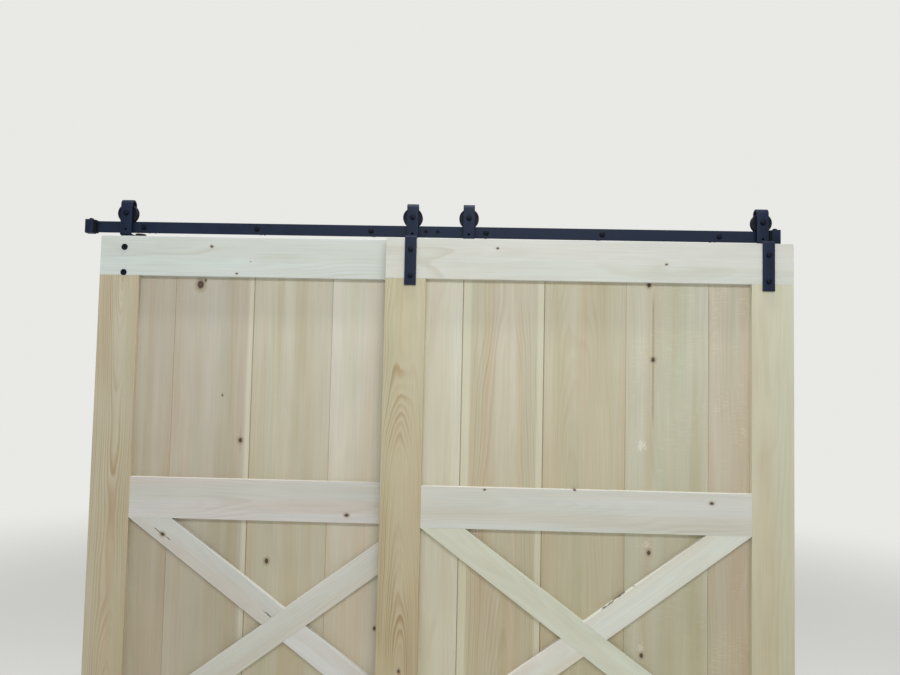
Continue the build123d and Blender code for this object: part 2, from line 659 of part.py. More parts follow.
def leaf_parts(left, front, under_rail):
    """Boards, hangers and fasteners of one leaf, hung from behind if it runs under the rail."""
    corner = Pos(left, front, LEAF_TOP)
    parts = {name: corner * board for name, board in leaf_boards(under_rail).items()}
    leaf_face = front + LEAF_THICKNESS if under_rail else front
    bolt_face = leaf_face + STRAP_THICKNESS if under_rail else leaf_face - STRAP_THICKNESS
    bolt_turn = Rot(Z=180) if under_rail else Rot()
    bolt_places = [Pos(left + x, bolt_face, LEAF_TOP + z) * bolt_turn for x, z in strap_bolt_points()]
    strap = hanger(bolt_face, leaf_face)
    parts["left_hanger"] = Pos(left + HANGER_INSET, 0, 0) * strap
    parts["right_hanger"] = Pos(left + LEAF_WIDTH - HANGER_INSET, 0, 0) * strap
    parts["strap_bolts"] = copies(strap_bolt(), bolt_places)
    parts["barrel_nuts"] = copies(barrel_nut(), bolt_places)
    if under_rail:
        disc_places = [Pos(left + x, RAIL_MIDDLE, LEAF_TOP) for x in disc_points()]
        parts["anti_jump_discs"] = copies(anti_jump_disc(), disc_places)
        parts["anti_jump_screws"] = copies(anti_jump_screw(), disc_places)
    return parts


def running_gear(left):
    """Wheels, bearings and axles of one leaf, by name."""
    left_place = Pos(left + HANGER_INSET, RAIL_MIDDLE, AXLE_Z)
    right_place = Pos(left + LEAF_WIDTH - HANGER_INSET, RAIL_MIDDLE, AXLE_Z)
    places = [left_place, right_place]
    return {
        "left_wheel": left_place * wheel(),
        "right_wheel": right_place * wheel(),
        "left_bearing": left_place * bearing(),
        "right_bearing": right_place * bearing(),
        "bearing_sleeves": copies(bearing_sleeve(), places),
        "axle_bolts": copies(axle_bolt(), places),
        "axle_nuts": copies(axle_nut(), places),
    }


def door_parts():
    """All pieces of the door, by name."""
    rear = leaf_parts(REAR_LEAF_X, REAR_LEAF_FRONT, under_rail=True) | running_gear(REAR_LEAF_X)
    front = leaf_parts(FRONT_LEAF_X, FRONT_LEAF_FRONT, under_rail=False) | running_gear(FRONT_LEAF_X)
    parts = track_parts()
    parts |= {f"rear_{name}": part for name, part in rear.items()}
    parts |= {f"front_{name}": part for name, part in front.items()}
    return parts


os.makedirs("parts", exist_ok=True)
for part_name, part in door_parts().items():
    export_step(part, f"parts/{part_name}.step")
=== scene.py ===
import logging
import math
from collections.abc import Callable, Iterable, Sequence
from dataclasses import dataclass
from enum import Enum
from functools import cached_property

import bmesh
import bpy
from bmesh.types import BMesh
from bpy.types import ID, Curve, Material, Mesh, Node, NodeSocket, NodeTree, Object
from mathutils import Euler, Matrix, Vector


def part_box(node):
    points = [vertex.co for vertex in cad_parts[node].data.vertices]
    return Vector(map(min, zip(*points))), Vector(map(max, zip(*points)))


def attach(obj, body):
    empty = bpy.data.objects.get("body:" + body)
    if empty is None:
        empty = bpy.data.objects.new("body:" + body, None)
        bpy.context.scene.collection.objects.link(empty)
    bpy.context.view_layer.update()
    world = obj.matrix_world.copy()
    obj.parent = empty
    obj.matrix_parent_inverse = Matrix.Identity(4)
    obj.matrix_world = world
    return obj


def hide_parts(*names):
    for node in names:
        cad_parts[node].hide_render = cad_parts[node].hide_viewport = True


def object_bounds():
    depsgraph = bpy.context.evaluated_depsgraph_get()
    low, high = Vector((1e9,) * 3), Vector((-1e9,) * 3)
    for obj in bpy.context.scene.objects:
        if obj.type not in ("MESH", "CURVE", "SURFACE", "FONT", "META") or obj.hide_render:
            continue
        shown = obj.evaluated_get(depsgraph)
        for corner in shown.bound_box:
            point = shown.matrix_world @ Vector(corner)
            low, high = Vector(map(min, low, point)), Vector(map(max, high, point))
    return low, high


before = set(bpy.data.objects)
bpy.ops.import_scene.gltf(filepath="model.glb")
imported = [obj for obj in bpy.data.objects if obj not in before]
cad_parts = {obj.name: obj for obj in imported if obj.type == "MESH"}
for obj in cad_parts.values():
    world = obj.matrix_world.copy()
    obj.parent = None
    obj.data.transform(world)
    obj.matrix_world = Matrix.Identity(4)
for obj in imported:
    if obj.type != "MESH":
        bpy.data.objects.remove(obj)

# Looks of a bypass barn door: two framed plank leaves on one flat wall rail.
# Places are metres in the CAD model's frame; sizes of pieces are written in millimetres.

LOG = logging.getLogger("barn_door")
MM = 0.001
CAD_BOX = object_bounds()
Point = tuple[float, float]
Point3 = tuple[float, float, float]
Source = Node | NodeSocket
Sockets = Sequence[NodeSocket]

# Kinds of node and settings that come up again and again
MATH, VECTOR, RANGE = "ShaderNodeMath", "ShaderNodeVectorMath", "ShaderNodeMapRange"
MIX, NOISE, XYZ = "ShaderNodeMix", "ShaderNodeTexNoise", "ShaderNodeCombineXYZ"
SMOOTH = {"interpolation_type": "SMOOTHSTEP"}
COLOURS = {"data_type": "RGBA"}


def linear(hex_colour: str) -> tuple[float, float, float, float]:
    """Linear colour, with full alpha, of an sRGB hex value."""
    channels = [int(hex_colour[at:at + 2], 16) / 255 for at in (1, 3, 5)]
    return (*[c / 12.92 if c <= 0.04045 else ((c + 0.055) / 1.055) ** 2.4 for c in channels], 1.0)


def wire(node: Node, links: dict | Sequence) -> None:
    """Link or set inputs of a node.

    Args:
        node: The node.
        links: Nodes, sockets or plain values, by the name of the input or in the order of the active inputs.
    """
    if not isinstance(links, dict):
        links = dict(zip([at for at, socket in enumerate(node.inputs) if socket.enabled], links))
    for name, value in links.items():
        if isinstance(value, Node):
            value = next(out for out in value.outputs if out.enabled)
        if isinstance(value, NodeSocket):
            node.id_data.links.new(value, node.inputs[name])
        else:
            node.inputs[name].default_value = value


def add(tree: NodeTree, kind: str, links: dict | Sequence = (), **settings: object) -> Node:
    """Add a node with its settings and links.

    Args:
        tree: Node tree that takes the node.
        kind: Blender's name for the kind of node.
        links: Its inputs, as wire takes them.
        settings: Its properties, set before its inputs.

    Returns:
        The new node.
    """
    node = tree.nodes.new(kind)
    for name, value in settings.items():
        setattr(node, name, value)
    wire(node, links)
    return node


def new_group(name: str, kind: str, inputs: dict[str, Sequence[str]],
              outputs: dict[str, Sequence[str]]) -> tuple[NodeTree, Sockets]:
    """Make a node group with named sockets.

    Args:
        name: Name of the group.
        kind: Type of the node tree.
        inputs: Names of the input sockets by their type.
        outputs: The same for the output sockets.

    Returns:
        The node tree, and the sockets inside it that give its inputs.
    """
    tree = bpy.data.node_groups.new(name, kind)
    for in_out, sockets in (("INPUT", inputs), ("OUTPUT", outputs)):
        for socket_type, names in sockets.items():
            for socket in names:
                tree.interface.new_socket(socket, in_out=in_out, socket_type=f"NodeSocket{socket_type}")
    return tree, add(tree, "NodeGroupInput").outputs


class Shading:
    """Material under construction.

    Attributes:
        material: The material.
        tree: Its node tree.
        shader: Its shader node.
        place: Node that gives the place on the piece, in millimetres.
    """

    def __init__(self, name: str, centre: Vector = Vector(), turn: Euler = Euler()) -> None:
        """Start a material.

        Args:
            name: Name of the material.
            centre: Where places are measured from, in metres.
            turn: Turn of the directions that they are measured in.
        """
        self.material = bpy.data.materials.new(name)
        self.material.use_nodes = True
        self.tree = self.material.node_tree
        self.shader = self.tree.nodes["Principled BSDF"]
        spot = self.add("ShaderNodeTexCoord").outputs["Object"]
        self.place = self.add("ShaderNodeMapping", {"Vector": spot, "Location": centre, "Rotation": turn,
                                                    "Scale": (MM, MM, MM)}, vector_type="TEXTURE")

    def add(self, kind: str, links: dict | Sequence = (), **settings: object) -> Node:
        """Add a node to the material, as the function of the same name does."""
        return add(self.tree, kind, links, **settings)

    def finish(self, colour: Source, rough: Source, height: Source, strength: float, relief: float,
               **plain: float) -> Material:
        """Wire up the shader.

        Args:
            colour: Base colour.
            rough: Roughness.
            height: Height of the surface, from 0 to 1.
            strength: Strength of the bump that it makes.
            relief: Depth of the bump in millimetres.
            plain: Constants for other inputs of the shader.

        Returns:
            The material.
        """
        bump = self.add("ShaderNodeBump", {"Height": height, "Strength": strength, "Distance": relief * MM})
        wire(self.shader, {"Base Color": colour, "Roughness": rough, "Normal": bump, **plain})
        return self.material


def dress(piece: Object, material: Material) -> None:
    """Give a piece or a CAD node one material, and report it.

    Args:
        piece: The piece or node.
        material: The material.
    """
    piece.data.materials.clear()
    piece.data.materials.append(material)
    LOG.info("%s: %s", piece.name, material.name)


# Softwood

class Grain(Enum):
    """Way a board's grain runs: the turn about Y, in degrees, that lays the board's own X along it."""

    LEVEL = 0.0
    UPRIGHT = 90.0
    FALLING = 36.38
    RISING = -36.38


LEVEL, UPRIGHT, FALLING, RISING = Grain


@dataclass(frozen=True)
class Knot:
    """Knot in a board, in millimetres from the leaf's top left corner, with the tail of dark grain by it."""

    right: float
    down: float
    radius: float
    tail: float = 0.0


@dataclass(frozen=True)
class Mark:
    """Ragged mark on a board, in millimetres from the leaf's top left corner to its middle.

    A dark one is a split or a trace of bark, a pale one is dried resin.
    """

    right: float
    down: float
    length: float
    width: float
    tint: str = "#2B2520"
    strength: float = 0.85


@dataclass(frozen=True)
class PaleStrip:
    """Strip of pale sapwood along one edge of a board."""

    from_left: bool
    width: float
    strength: float = 0.5


@dataclass(frozen=True)
class Board:
    """One board of a leaf and how it was sawn.

    The foot is a tint that an upright board's tone takes on towards its lower end. It is painted light, which makes
    the lower end warmer and darker as the light falls there. The heart is the middle of the growth rings, in
    millimetres across the board and in front of it. Run-out is how fast it moves off along the board, which draws
    the arches. Bow is how fast it comes nearer again towards both ends, which closes them to long loops. Shift is
    how far all rings move in towards the heart.
    """

    name: str
    grain: Grain
    tone: str
    heart: Point = (0.0, 70.0)
    run_out: float = 0.03
    ring: float = 9.0
    lines: float = 0.2
    bands: float = 0.8
    chatter: float = 0.0
    # Strength of the painted shadow in the seam at each of the board's two long edges
    painted_seam_shadows: Point = (0.0, 0.0)
    strips: tuple[PaleStrip, ...] = ()
    knots: tuple[Knot, ...] = ()
    # Painted light: tint of the lower end of an upright board, warmer and darker as the light falls there
    painted_foot_light: str = "#F4F0E6"
    bow: float = 0.0
    marks: tuple[Mark, ...] = ()
    shift: float = 0.0


@dataclass(frozen=True)
class Patches:
    """Noise drawn out along the grain, with the length and width of its patches in millimetres."""

    length: float
    width: float
    detail: float = 1.0
    shift: float = 0.0


@dataclass(frozen=True)
class Band:
    """Tint that lies over the wood where its patches rise from one level to another."""

    tint: str
    patches: Patches
    low: float
    high: float
    strength: float = 0.7
    blend: str = "MULTIPLY"


@dataclass(frozen=True)
class PlanedPine:
    """Bare planed softwood, light and almost dull: soft bands of pinkish, pale and greenish wood along the grain.

    Real growth rings are 2 to 5 mm wide. They are drawn 7 to 12 mm wide, so that they show at the distance
    of the photograph.
    """

    late_wood: str = "#C9AE82"
    sapwood: str = "#DCDAC2"
    knot_core: str = "#544232"
    knot_ring: str = "#2B2520"
    knot_rim: str = "#8A7458"
    # Colour of the painted shadow in the seams between boards
    seam_painted_shadow: str = "#7C7058"
    # Span along an upright board, in millimetres, over which the painted light tint of its foot comes in
    painted_foot_from: float = -650.0
    painted_foot_to: float = 480.0
    bands: tuple[Band, ...] = (
        Band("#F4E0CC", Patches(1300.0, 62.0, 1.5, 11.3), 0.4, 0.7),
        Band("#E9F3E6", Patches(1500.0, 80.0, 1.5, 23.9), 0.42, 0.7),
        Band("#F1F0E6", Patches(700.0, 30.0, 1.5, 37.7), 0.46, 0.74, 0.1, "SCREEN"),
    )
    wander: Patches = Patches(480.0, 110.0)
    wander_across: float = 22.0
    wander_deep: float = 52.0
    ripple: Patches = Patches(90.0, 22.0, 1.0, 5.1)
    ripple_height: float = 3.0
    darkest: float = 0.78
    fibre: Patches = Patches(260.0, 3.2, 2.0, 3.3)
    cloud: Patches = Patches(170.0, 60.0, 3.0, 51.7)
    cloud_share: float = 0.55
    streak: Point = (0.93, 1.07)
    chatter: Patches = Patches(4.2, 30.0)
    chatter_spots: Patches = Patches(130.0, 70.0, 1.0, 8.8)
    # Strength of the painted highlight that the chatter glints add to the colour
    chatter_painted_glint: float = 0.14
    roughness: Point = (0.62, 0.78)
    bump: float = 0.5
    relief: float = 0.25
    mark_grain: float = 6.0
    mark_shake: float = 2.4
    mark_edge: Point = (1.65, 1.95)
    sapwood_fade: Point = (-6.0, 5.0)
    seam_fade: Point = (1.0, 3.2)
    knot_shake: Point3 = (7.0, 0.0, 5.0)
    knot_stretch: Point3 = (0.75, 0.0, 1.0)
    tail_fade: float = 60.0
    tail_width: float = 6.0

    @cached_property
    def rings(self) -> NodeTree:
        """Group that draws growth rings, fibres and bands of colour, built when it is first used.

        Returns:
            The node tree. Its Position is in millimetres: along the grain, into the board and across it.
        """
        tree, given = new_group(
            "Softwood grain", "ShaderNodeTree",
            {"Vector": ("Position",), "Color": ("Tone",),
             "Float": ("Heart Across", "Heart Depth", "Run Out", "Bow", "Ring Width", "Lines", "Bands", "Chatter",
                       "Seed", "Shift")},
            {"Color": ("Color",), "Float": ("Height",)})
        part = add(tree, "ShaderNodeSeparateXYZ", (given["Position"],)).outputs

        def noise(patches: Patches) -> Node:
            """Draw noise.

            Args:
                patches: Size of its patches.

            Returns:
                The node that gives it.
            """
            moved = add(tree, MATH, (given["Seed"], patches.shift), operation="ADD")
            seed = add(tree, XYZ, (moved, moved, moved))
            scale = (1 / patches.length, 1 / patches.width, 1 / patches.width)
            scaled = add(tree, VECTOR, (given["Position"], scale, seed), operation="MULTIPLY_ADD")
            return add(tree, NOISE, {"Vector": scaled, "Scale": 1.0, "Detail": patches.detail, "Roughness": 0.5})

        # Distance from the heart, which wanders and leans off along the board
        wander = add(tree, "ShaderNodeSeparateColor", (noise(self.wander).outputs["Color"],)).outputs
        across = add(tree, MATH, (wander[0], self.wander_across, part[2]), operation="MULTIPLY_ADD")
        for offset in (given["Heart Across"], self.wander_across / 2):
            across = add(tree, MATH, (across, offset), operation="SUBTRACT")
        bend = add(tree, MATH, (part[0], given["Bow"]), operation="MULTIPLY")
        slope = add(tree, MATH, (given["Run Out"], bend), operation="SUBTRACT")
        deep = add(tree, MATH, (part[0], slope, part[1]), operation="MULTIPLY_ADD")
        deep = add(tree, MATH, (wander[1], self.wander_deep, deep), operation="MULTIPLY_ADD")
        deep = add(tree, MATH, (deep, given["Heart Depth"]), operation="ADD")
        distance = add(tree, VECTOR, (add(tree, XYZ, (across, deep)),), operation="LENGTH")
        distance = add(tree, MATH, (noise(self.ripple), self.ripple_height, distance), operation="MULTIPLY_ADD")
        distance = add(tree, MATH, (distance, given["Shift"]), operation="ADD")
        ring = add(tree, MATH, (distance, given["Ring Width"]), operation="DIVIDE")

        # Late wood: darkens through each year, ends sharply, and is stronger in some years and places
        turn = add(tree, MATH, (ring,), operation="FRACT")
        late = add(tree, RANGE, (turn, 0.1, self.darkest), **SMOOTH)
        year = add(tree, MATH, (ring,), operation="FLOOR")
        yearly = add(tree, "ShaderNodeTexWhiteNoise", (year,), noise_dimensions="1D")
        for factor in (add(tree, RANGE, (turn, self.darkest, 1.0, 1.0, 0.0), **SMOOTH),
                       add(tree, RANGE, (yearly, 0.0, 1.0, 0.2, 1.0)),
                       add(tree, RANGE, (wander[2], 0.36, 0.64, 0.15, 1.0), **SMOOTH)):
            late = add(tree, MATH, (late, factor), operation="MULTIPLY")
        drawn = add(tree, MATH, (late, given["Lines"]), operation="MULTIPLY")

        colour = given["Tone"]
        for band in self.bands:
            cover = add(tree, RANGE, (noise(band.patches), band.low, band.high), **SMOOTH)
            cover = add(tree, MATH, (cover, given["Bands"]), operation="MULTIPLY")
            cover = add(tree, MATH, (cover, band.strength), operation="MULTIPLY")
            colour = add(tree, MIX, (cover, colour, linear(band.tint)), blend_type=band.blend, **COLOURS)

        # Fine fibres, cloudy patches and the chatter marks that a planer's knives leave: their bump is real, their
        # glints are painted highlight that lightens the colour
        fibre = noise(self.fibre)
        cloud = add(tree, MATH, (noise(self.cloud), self.cloud_share, fibre), operation="MULTIPLY_ADD")
        streak = add(tree, RANGE, (cloud, 0.45, 1.1, *self.streak))
        chatter_and_painted_glints = add(tree, RANGE, (noise(self.chatter), 0.5, 0.68), **SMOOTH)
        for factor in (add(tree, RANGE, (noise(self.chatter_spots), 0.45, 0.62), **SMOOTH), given["Chatter"]):
            chatter_and_painted_glints = add(tree, MATH, (chatter_and_painted_glints, factor), operation="MULTIPLY")
        # Painted highlight: the chatter glints lighten the colour along with the real streaks
        streaks_and_painted_glints = add(tree, MATH, (chatter_and_painted_glints, self.chatter_painted_glint, streak), operation="MULTIPLY_ADD")
        for cover, tint in ((drawn, linear(self.late_wood)), (1.0, streaks_and_painted_glints)):
            colour = add(tree, MIX, (cover, colour, tint), blend_type="MULTIPLY", **COLOURS)
        height = add(tree, MATH, (late, 0.3, fibre), operation="MULTIPLY_ADD")
        height = add(tree, MATH, (height, chatter_and_painted_glints), operation="ADD")
        add(tree, "NodeGroupOutput", {"Color": colour, "Height": height})
        return tree

    @cached_property
    def knot(self) -> NodeTree:
        """Group that draws one knot, built when it is first used.

        Returns:
            The node tree.
        """
        tree, given = new_group("Knot", "ShaderNodeTree", {"Vector": ("Position", "Centre"), "Color": ("Color",),
                                                           "Float": ("Radius", "Tail")}, {"Color": ("Color",)})
        uneven = add(tree, NOISE, {"Vector": given["Position"], "Scale": 0.11, "Detail": 2.0}).outputs["Color"]
        uneven = add(tree, VECTOR, (uneven, (0.5, 0.5, 0.5)), operation="SUBTRACT")
        shaken = add(tree, VECTOR, (uneven, self.knot_shake, given["Position"]), operation="MULTIPLY_ADD")
        away = add(tree, VECTOR, (shaken, given["Centre"]), operation="SUBTRACT")
        round_off = add(tree, VECTOR, (away, self.knot_stretch), operation="MULTIPLY")
        distance = add(tree, VECTOR, (round_off,), operation="LENGTH")
        radii = add(tree, MATH, (distance, given["Radius"]), operation="DIVIDE")

        # Dark heart, paler rim and the tail of dark grain along the board
        heart = add(tree, RANGE, (radii, 0.6, 1.3, 1.0, 0.0), **SMOOTH)
        rim = add(tree, RANGE, (radii, 0.9, 2.6, 0.6, 0.0), **SMOOTH)
        part = add(tree, "ShaderNodeSeparateXYZ", (away,)).outputs
        along, side = (add(tree, MATH, (part[axis],), operation="ABSOLUTE") for axis in (0, 2))
        along = add(tree, MATH, (given["Tail"], along), operation="SUBTRACT")
        along = add(tree, RANGE, (along, 0.0, self.tail_fade))
        side = add(tree, RANGE, (side, 0.0, self.tail_width, 0.5, 0.0), **SMOOTH)
        tail = add(tree, MATH, (along, side), operation="MULTIPLY")
        halo = add(tree, MATH, (rim, tail), operation="MAXIMUM")
        core = add(tree, RANGE, (radii, 0.3, 0.7), **SMOOTH)
        wood = add(tree, MIX, (core, linear(self.knot_core), linear(self.knot_ring)), **COLOURS)
        colour = add(tree, MIX, (halo, given["Color"], linear(self.knot_rim)), **COLOURS)
        add(tree, "NodeGroupOutput", {"Color": add(tree, MIX, (heart, colour, wood), **COLOURS)})
        return tree

    def build(self, name: str, board: Board, box: tuple[Vector, Vector], corner: Vector,
              seed: float) -> Material:
        """Build the material of one board.

        Args:
            name: Name of the board's CAD node.
            board: How the board was sawn and what shows on it.
            box: Lowest and highest corner of the board.
            corner: Top left corner of the leaf, from which knots are placed.
            seed: Number that makes this board's pattern its own.

        Returns:
            The material.
        """
        centre = (box[0] + box[1]) / 2
        turn = Euler((0.0, math.radians(board.grain.value), 0.0))
        wood = Shading(f"Planed pine {name}", centre, turn)
        grain = wood.add("ShaderNodeGroup", {
            "Position": wood.place, "Tone": linear(board.tone), "Heart Across": board.heart[0],
            "Heart Depth": board.heart[1], "Run Out": board.run_out, "Bow": board.bow, "Ring Width": board.ring,
            "Lines": board.lines, "Bands": board.bands, "Chatter": board.chatter, "Seed": seed, "Shift": board.shift,
        }, node_tree=self.rings).outputs
        colour = grain["Color"]
        # Painted light: upright boards turn warmer and darker towards their lower end, as the light falls there
        if board.grain is UPRIGHT:
            down = wood.add("ShaderNodeSeparateXYZ", (wood.place,)).outputs[0]
            cover = wood.add(RANGE, (down, self.painted_foot_from, self.painted_foot_to))
            colour = wood.add(MIX, (cover, colour, linear(board.painted_foot_light)), blend_type="MULTIPLY", **COLOURS)
        colour = self.edged(wood, colour, board, (box[1].x - box[0].x) / MM / 2)

        def on_board(mark: Knot | Mark) -> Vector:
            """Find the middle of a knot or mark.

            Args:
                mark: The knot or mark.

            Returns:
                Its middle in the board's own directions, in millimetres.
            """
            where = corner + Vector((mark.right, 0.0, -mark.down)) * MM - centre
            where.y = 0.0
            where.rotate(turn.to_matrix().inverted())
            return where / MM

        for mark in board.marks:
            colour = self.marked(wood, colour, mark, on_board(mark))
        for knot in board.knots:
            colour = wood.add("ShaderNodeGroup", {
                "Position": wood.place, "Centre": on_board(knot), "Radius": knot.radius, "Tail": knot.tail,
                "Color": colour,
            }, node_tree=self.knot)
        rough = wood.add(RANGE, (grain["Height"], 0.0, 1.0, *self.roughness))
        return wood.finish(colour, rough, grain["Height"], self.bump, self.relief)

    def marked(self, wood: Shading, colour: Source, mark: Mark, middle: Vector) -> Node:
        """Draw a ragged mark that is stretched along the grain.

        Args:
            wood: Material of the board.
            colour: Colour under the mark.
            mark: The mark.
            middle: Its middle in the board's own directions, in millimetres.

        Returns:
            The colour with the mark.
        """
        away = wood.add(VECTOR, (wood.place, middle), operation="SUBTRACT")
        uneven = wood.add(NOISE, {"Vector": away, "Scale": self.mark_grain / mark.length, "Detail": 2.0})
        share = wood.add(VECTOR, (away, (2 / mark.length, 0.0, 2 / mark.width)), operation="MULTIPLY")
        radii = wood.add(VECTOR, (share,), operation="LENGTH")
        ragged = wood.add(MATH, (uneven, self.mark_shake, radii), operation="MULTIPLY_ADD")
        cover = wood.add(RANGE, (ragged, *self.mark_edge, mark.strength, 0.0), **SMOOTH)
        return wood.add(MIX, (cover, colour, linear(mark.tint)), **COLOURS)

    def edged(self, wood: Shading, colour: Source, board: Board, half: float) -> Source:
        """Draw the pale sapwood strips and the painted shadow in the seams along a board's long edges.

        Args:
            wood: Material of the board.
            colour: Colour under them.
            board: The board.
            half: Half the board's width in millimetres.

        Returns:
            The colour with them.
        """
        across = wood.add("ShaderNodeSeparateXYZ", (wood.place,)).outputs[2]
        edges = [(1.0 if strip.from_left else -1.0, [strip.width + part for part in self.sapwood_fade],
                  strip.strength, self.sapwood, SMOOTH) for strip in board.strips]
        # Painted shadow along the seams between boards, drawn wider than the real gap
        edges += [(way, self.seam_fade, shade, self.seam_painted_shadow, {})
                  for way, shade in zip((1.0, -1.0), board.painted_seam_shadows) if shade]
        for way, fade, strength, tint, settings in edges:
            from_edge = wood.add(MATH, (across, way, half), operation="MULTIPLY_ADD")
            cover = wood.add(RANGE, (from_edge, *fade, strength, 0.0), **settings)
            colour = wood.add(MIX, (cover, colour, linear(tint)), **COLOURS)
        return colour


# Metal, nylon and rubber

@dataclass(frozen=True)
class CoatedSurface:
    """Finish with one colour, worked over by small grains or turning marks.

    Attributes:
        name: Common name of the finish.
        colour: Colour of the surface.
        patch: Colour of the slow patches in it.
        roughness: Lowest and highest roughness.
        metallic: 1 for bare metal.
        grain: Size of the grains in millimetres.
        relief: Height of the grains in millimetres.
        gloss: How much of a clear surface's mirror light it gives back, 0.5 for a plain one.
        patch_size: Size of the slow patches in millimetres.
    """

    name: str
    colour: str
    patch: str
    roughness: Point
    metallic: float = 0.0
    grain: float = 1.2
    relief: float = 0.02
    gloss: float = 0.5
    patch_size: float = 38.0

    def build(self) -> Material:
        """Build the material.

        Returns:
            The material.
        """
        skin = Shading(self.name)
        slow = skin.add(NOISE, {"Vector": skin.place, "Scale": 1 / self.patch_size, "Detail": 3.0})
        fine = skin.add(NOISE, {"Vector": skin.place, "Scale": 1 / self.grain, "Detail": 2.0})
        cover = skin.add(RANGE, (slow, 0.35, 0.68))
        colour = skin.add(MIX, (cover, linear(self.colour), linear(self.patch)), **COLOURS)
        rough = skin.add(RANGE, (slow, 0.3, 0.7, *self.roughness))
        return skin.finish(colour, rough, fine, 0.6, self.relief,
                           **{"Metallic": self.metallic, "Specular IOR Level": self.gloss})


# Powder coat is sprayed and baked: a soft satin black with a faint skin like orange peel. Its navy tint, in the colour
# and in the patches, is painted reflection of a blue sky
POWDER_COAT = CoatedSurface("Black powder coat", "#111D32", "#172339", (0.42, 0.55), grain=1.6, relief=0.03,
                            gloss=0.16)
# Chemical black on turned steel: deeper than the coat beside it
BLACKED_STEEL = CoatedSurface("Blacked steel", "#080C1A", "#0C1222", (0.36, 0.5), grain=0.8, relief=0.01,
                              gloss=0.1)
# Ground and polished bearing steel: bright and cool
BEARING_STEEL = CoatedSurface("Ground bearing steel", "#B9BABC", "#A5A7AA", (0.2, 0.32), metallic=1.0, relief=0.004)
# Zinc on wood screws: pale grey with a soft shine
ZINC = CoatedSurface("Zinc plated steel", "#B4B6B8", "#9D9FA2", (0.3, 0.45), metallic=1.0, relief=0.006)
# Black nylon turned on a lathe: dark and waxy
NYLON = CoatedSurface("Turned black nylon", "#0E121D", "#131724", (0.42, 0.55), grain=0.9, relief=0.015, gloss=0.14)
# Moulded rubber: dull and dark
RUBBER = CoatedSurface("Black rubber", "#0C0D12", "#111217", (0.68, 0.82), grain=1.5, relief=0.03, gloss=0.12)


# Shared making

def placed(name: str, data: ID) -> Object:
    """Put a new object into the scene.

    Args:
        name: Name of the object.
        data: Its mesh, curve, lamp or camera.

    Returns:
        The object.
    """
    item = bpy.data.objects.new(name, data)
    bpy.context.scene.collection.objects.link(item)
    return item


def finished(name: str, mesh: Mesh, material: Material, body: str,
             nodes: Iterable[str] = ()) -> None:
    """Put a finished mesh into the scene.

    Args:
        name: Name of the piece.
        mesh: Its mesh, in place in the model's frame.
        material: Its finish.
        body: CAD body that it moves with.
        nodes: CAD nodes that it stands for.
    """
    piece = placed(name, mesh)
    dress(piece, material)
    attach(piece, body)
    if nodes:
        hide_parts(*nodes)


def meshed(solid: BMesh, name: str) -> Mesh:
    """Turn a solid into a mesh.

    Args:
        solid: The solid. It is freed.
        name: Name of the mesh.

    Returns:
        The mesh.
    """
    mesh = bpy.data.meshes.new(name)
    solid.to_mesh(mesh)
    solid.free()
    return mesh


def soften(mesh: Mesh, angle: float = 32.0) -> None:
    """Shade a mesh smooth, with sharp edges where it turns by more than an angle in degrees."""
    mesh.polygons.foreach_set("use_smooth", [True] * len(mesh.polygons))
    mesh.set_sharp_from_angle(angle=math.radians(angle))


def skinned(rings: Sequence[Sequence[Point3]], closed: bool) -> BMesh:
    """Skin a row of rings.

    Args:
        rings: Points of each ring in millimetres, equally many, or only one on the axis.
        closed: Whether the last ring meets the first. Otherwise both ends are filled.

    Returns:
        The solid, in metres, with its faces outwards.
    """
    solid = bmesh.new()
    rows = [[solid.verts.new([value * MM for value in point]) for point in ring] for ring in rings]
    if not closed:
        solid.faces.new(rows[0])
        solid.faces.new(rows[-1])
    for start, end in zip(rows, rows[1:] + rows[:1] if closed else rows[1:]):
        for step in range(max(map(len, rows))):
            corners = dict.fromkeys(row[at % len(row)] for row, at in (
                (start, step), (start, step + 1), (end, step + 1), (end, step)))
            if len(corners) > 2:
                solid.faces.new(list(corners))
    bmesh.ops.recalc_face_normals(solid, faces=solid.faces)
    return solid


def ringed(radii: Sequence[float], along: Sequence[float]) -> list[Point3]:
    """Ring of points about the Y axis, at equal steps, with the radius and place along Y of each."""
    angles = [math.tau * step / len(radii) for step in range(len(radii))]
    return [(radius * math.cos(a), y, radius * math.sin(a)) for radius, y, a in zip(radii, along, angles)]


def turned(profile: Sequence[Point], steps: int = 96) -> BMesh:
    """Turn a closed half section about the Y axis.

    Args:
        profile: Corners of the section as radius and place along Y, in millimetres.
        steps: Number of steps round the axis.

    Returns:
        The solid, in metres, with its faces outwards.
    """
    counts = [steps if radius else 1 for radius, _ in profile]
    return skinned([ringed([radius] * count, [along] * count) for (radius, along), count in zip(profile, counts)], True)


def gathered(name: str, shapes: Iterable[BMesh], place: Matrix = Matrix()) -> Mesh:
    """Join shapes into one mesh, shaded smooth between its edges.

    Args:
        name: Name of the mesh.
        shapes: The shapes. They are freed.
        place: Where they go together.

    Returns:
        The mesh.
    """
    whole = bmesh.new()
    for shape in shapes:
        part = meshed(shape, "part")
        part.transform(place)
        whole.from_mesh(part)
        bpy.data.meshes.remove(part)
    mesh = meshed(whole, name)
    soften(mesh)
    return mesh


def smoothed_copy(node: str, material: Material, body: str) -> None:
    """Stand a merged copy of a CAD node, smooth on its round faces, in the node's place.

    Args:
        node: Name of the CAD node.
        material: Finish of the copy.
        body: CAD body that it moves with.
    """
    shape = bmesh.new()
    shape.from_mesh(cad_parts[node].data)
    bmesh.ops.remove_doubles(shape, verts=shape.verts, dist=0.01 * MM)
    mesh = meshed(shape, f"{node}_smooth")
    for name in [layer.name for layer in mesh.uv_layers]:
        mesh.uv_layers.remove(mesh.uv_layers[name])
    soften(mesh)
    finished(f"{node}_smooth", mesh, material, body, [node])


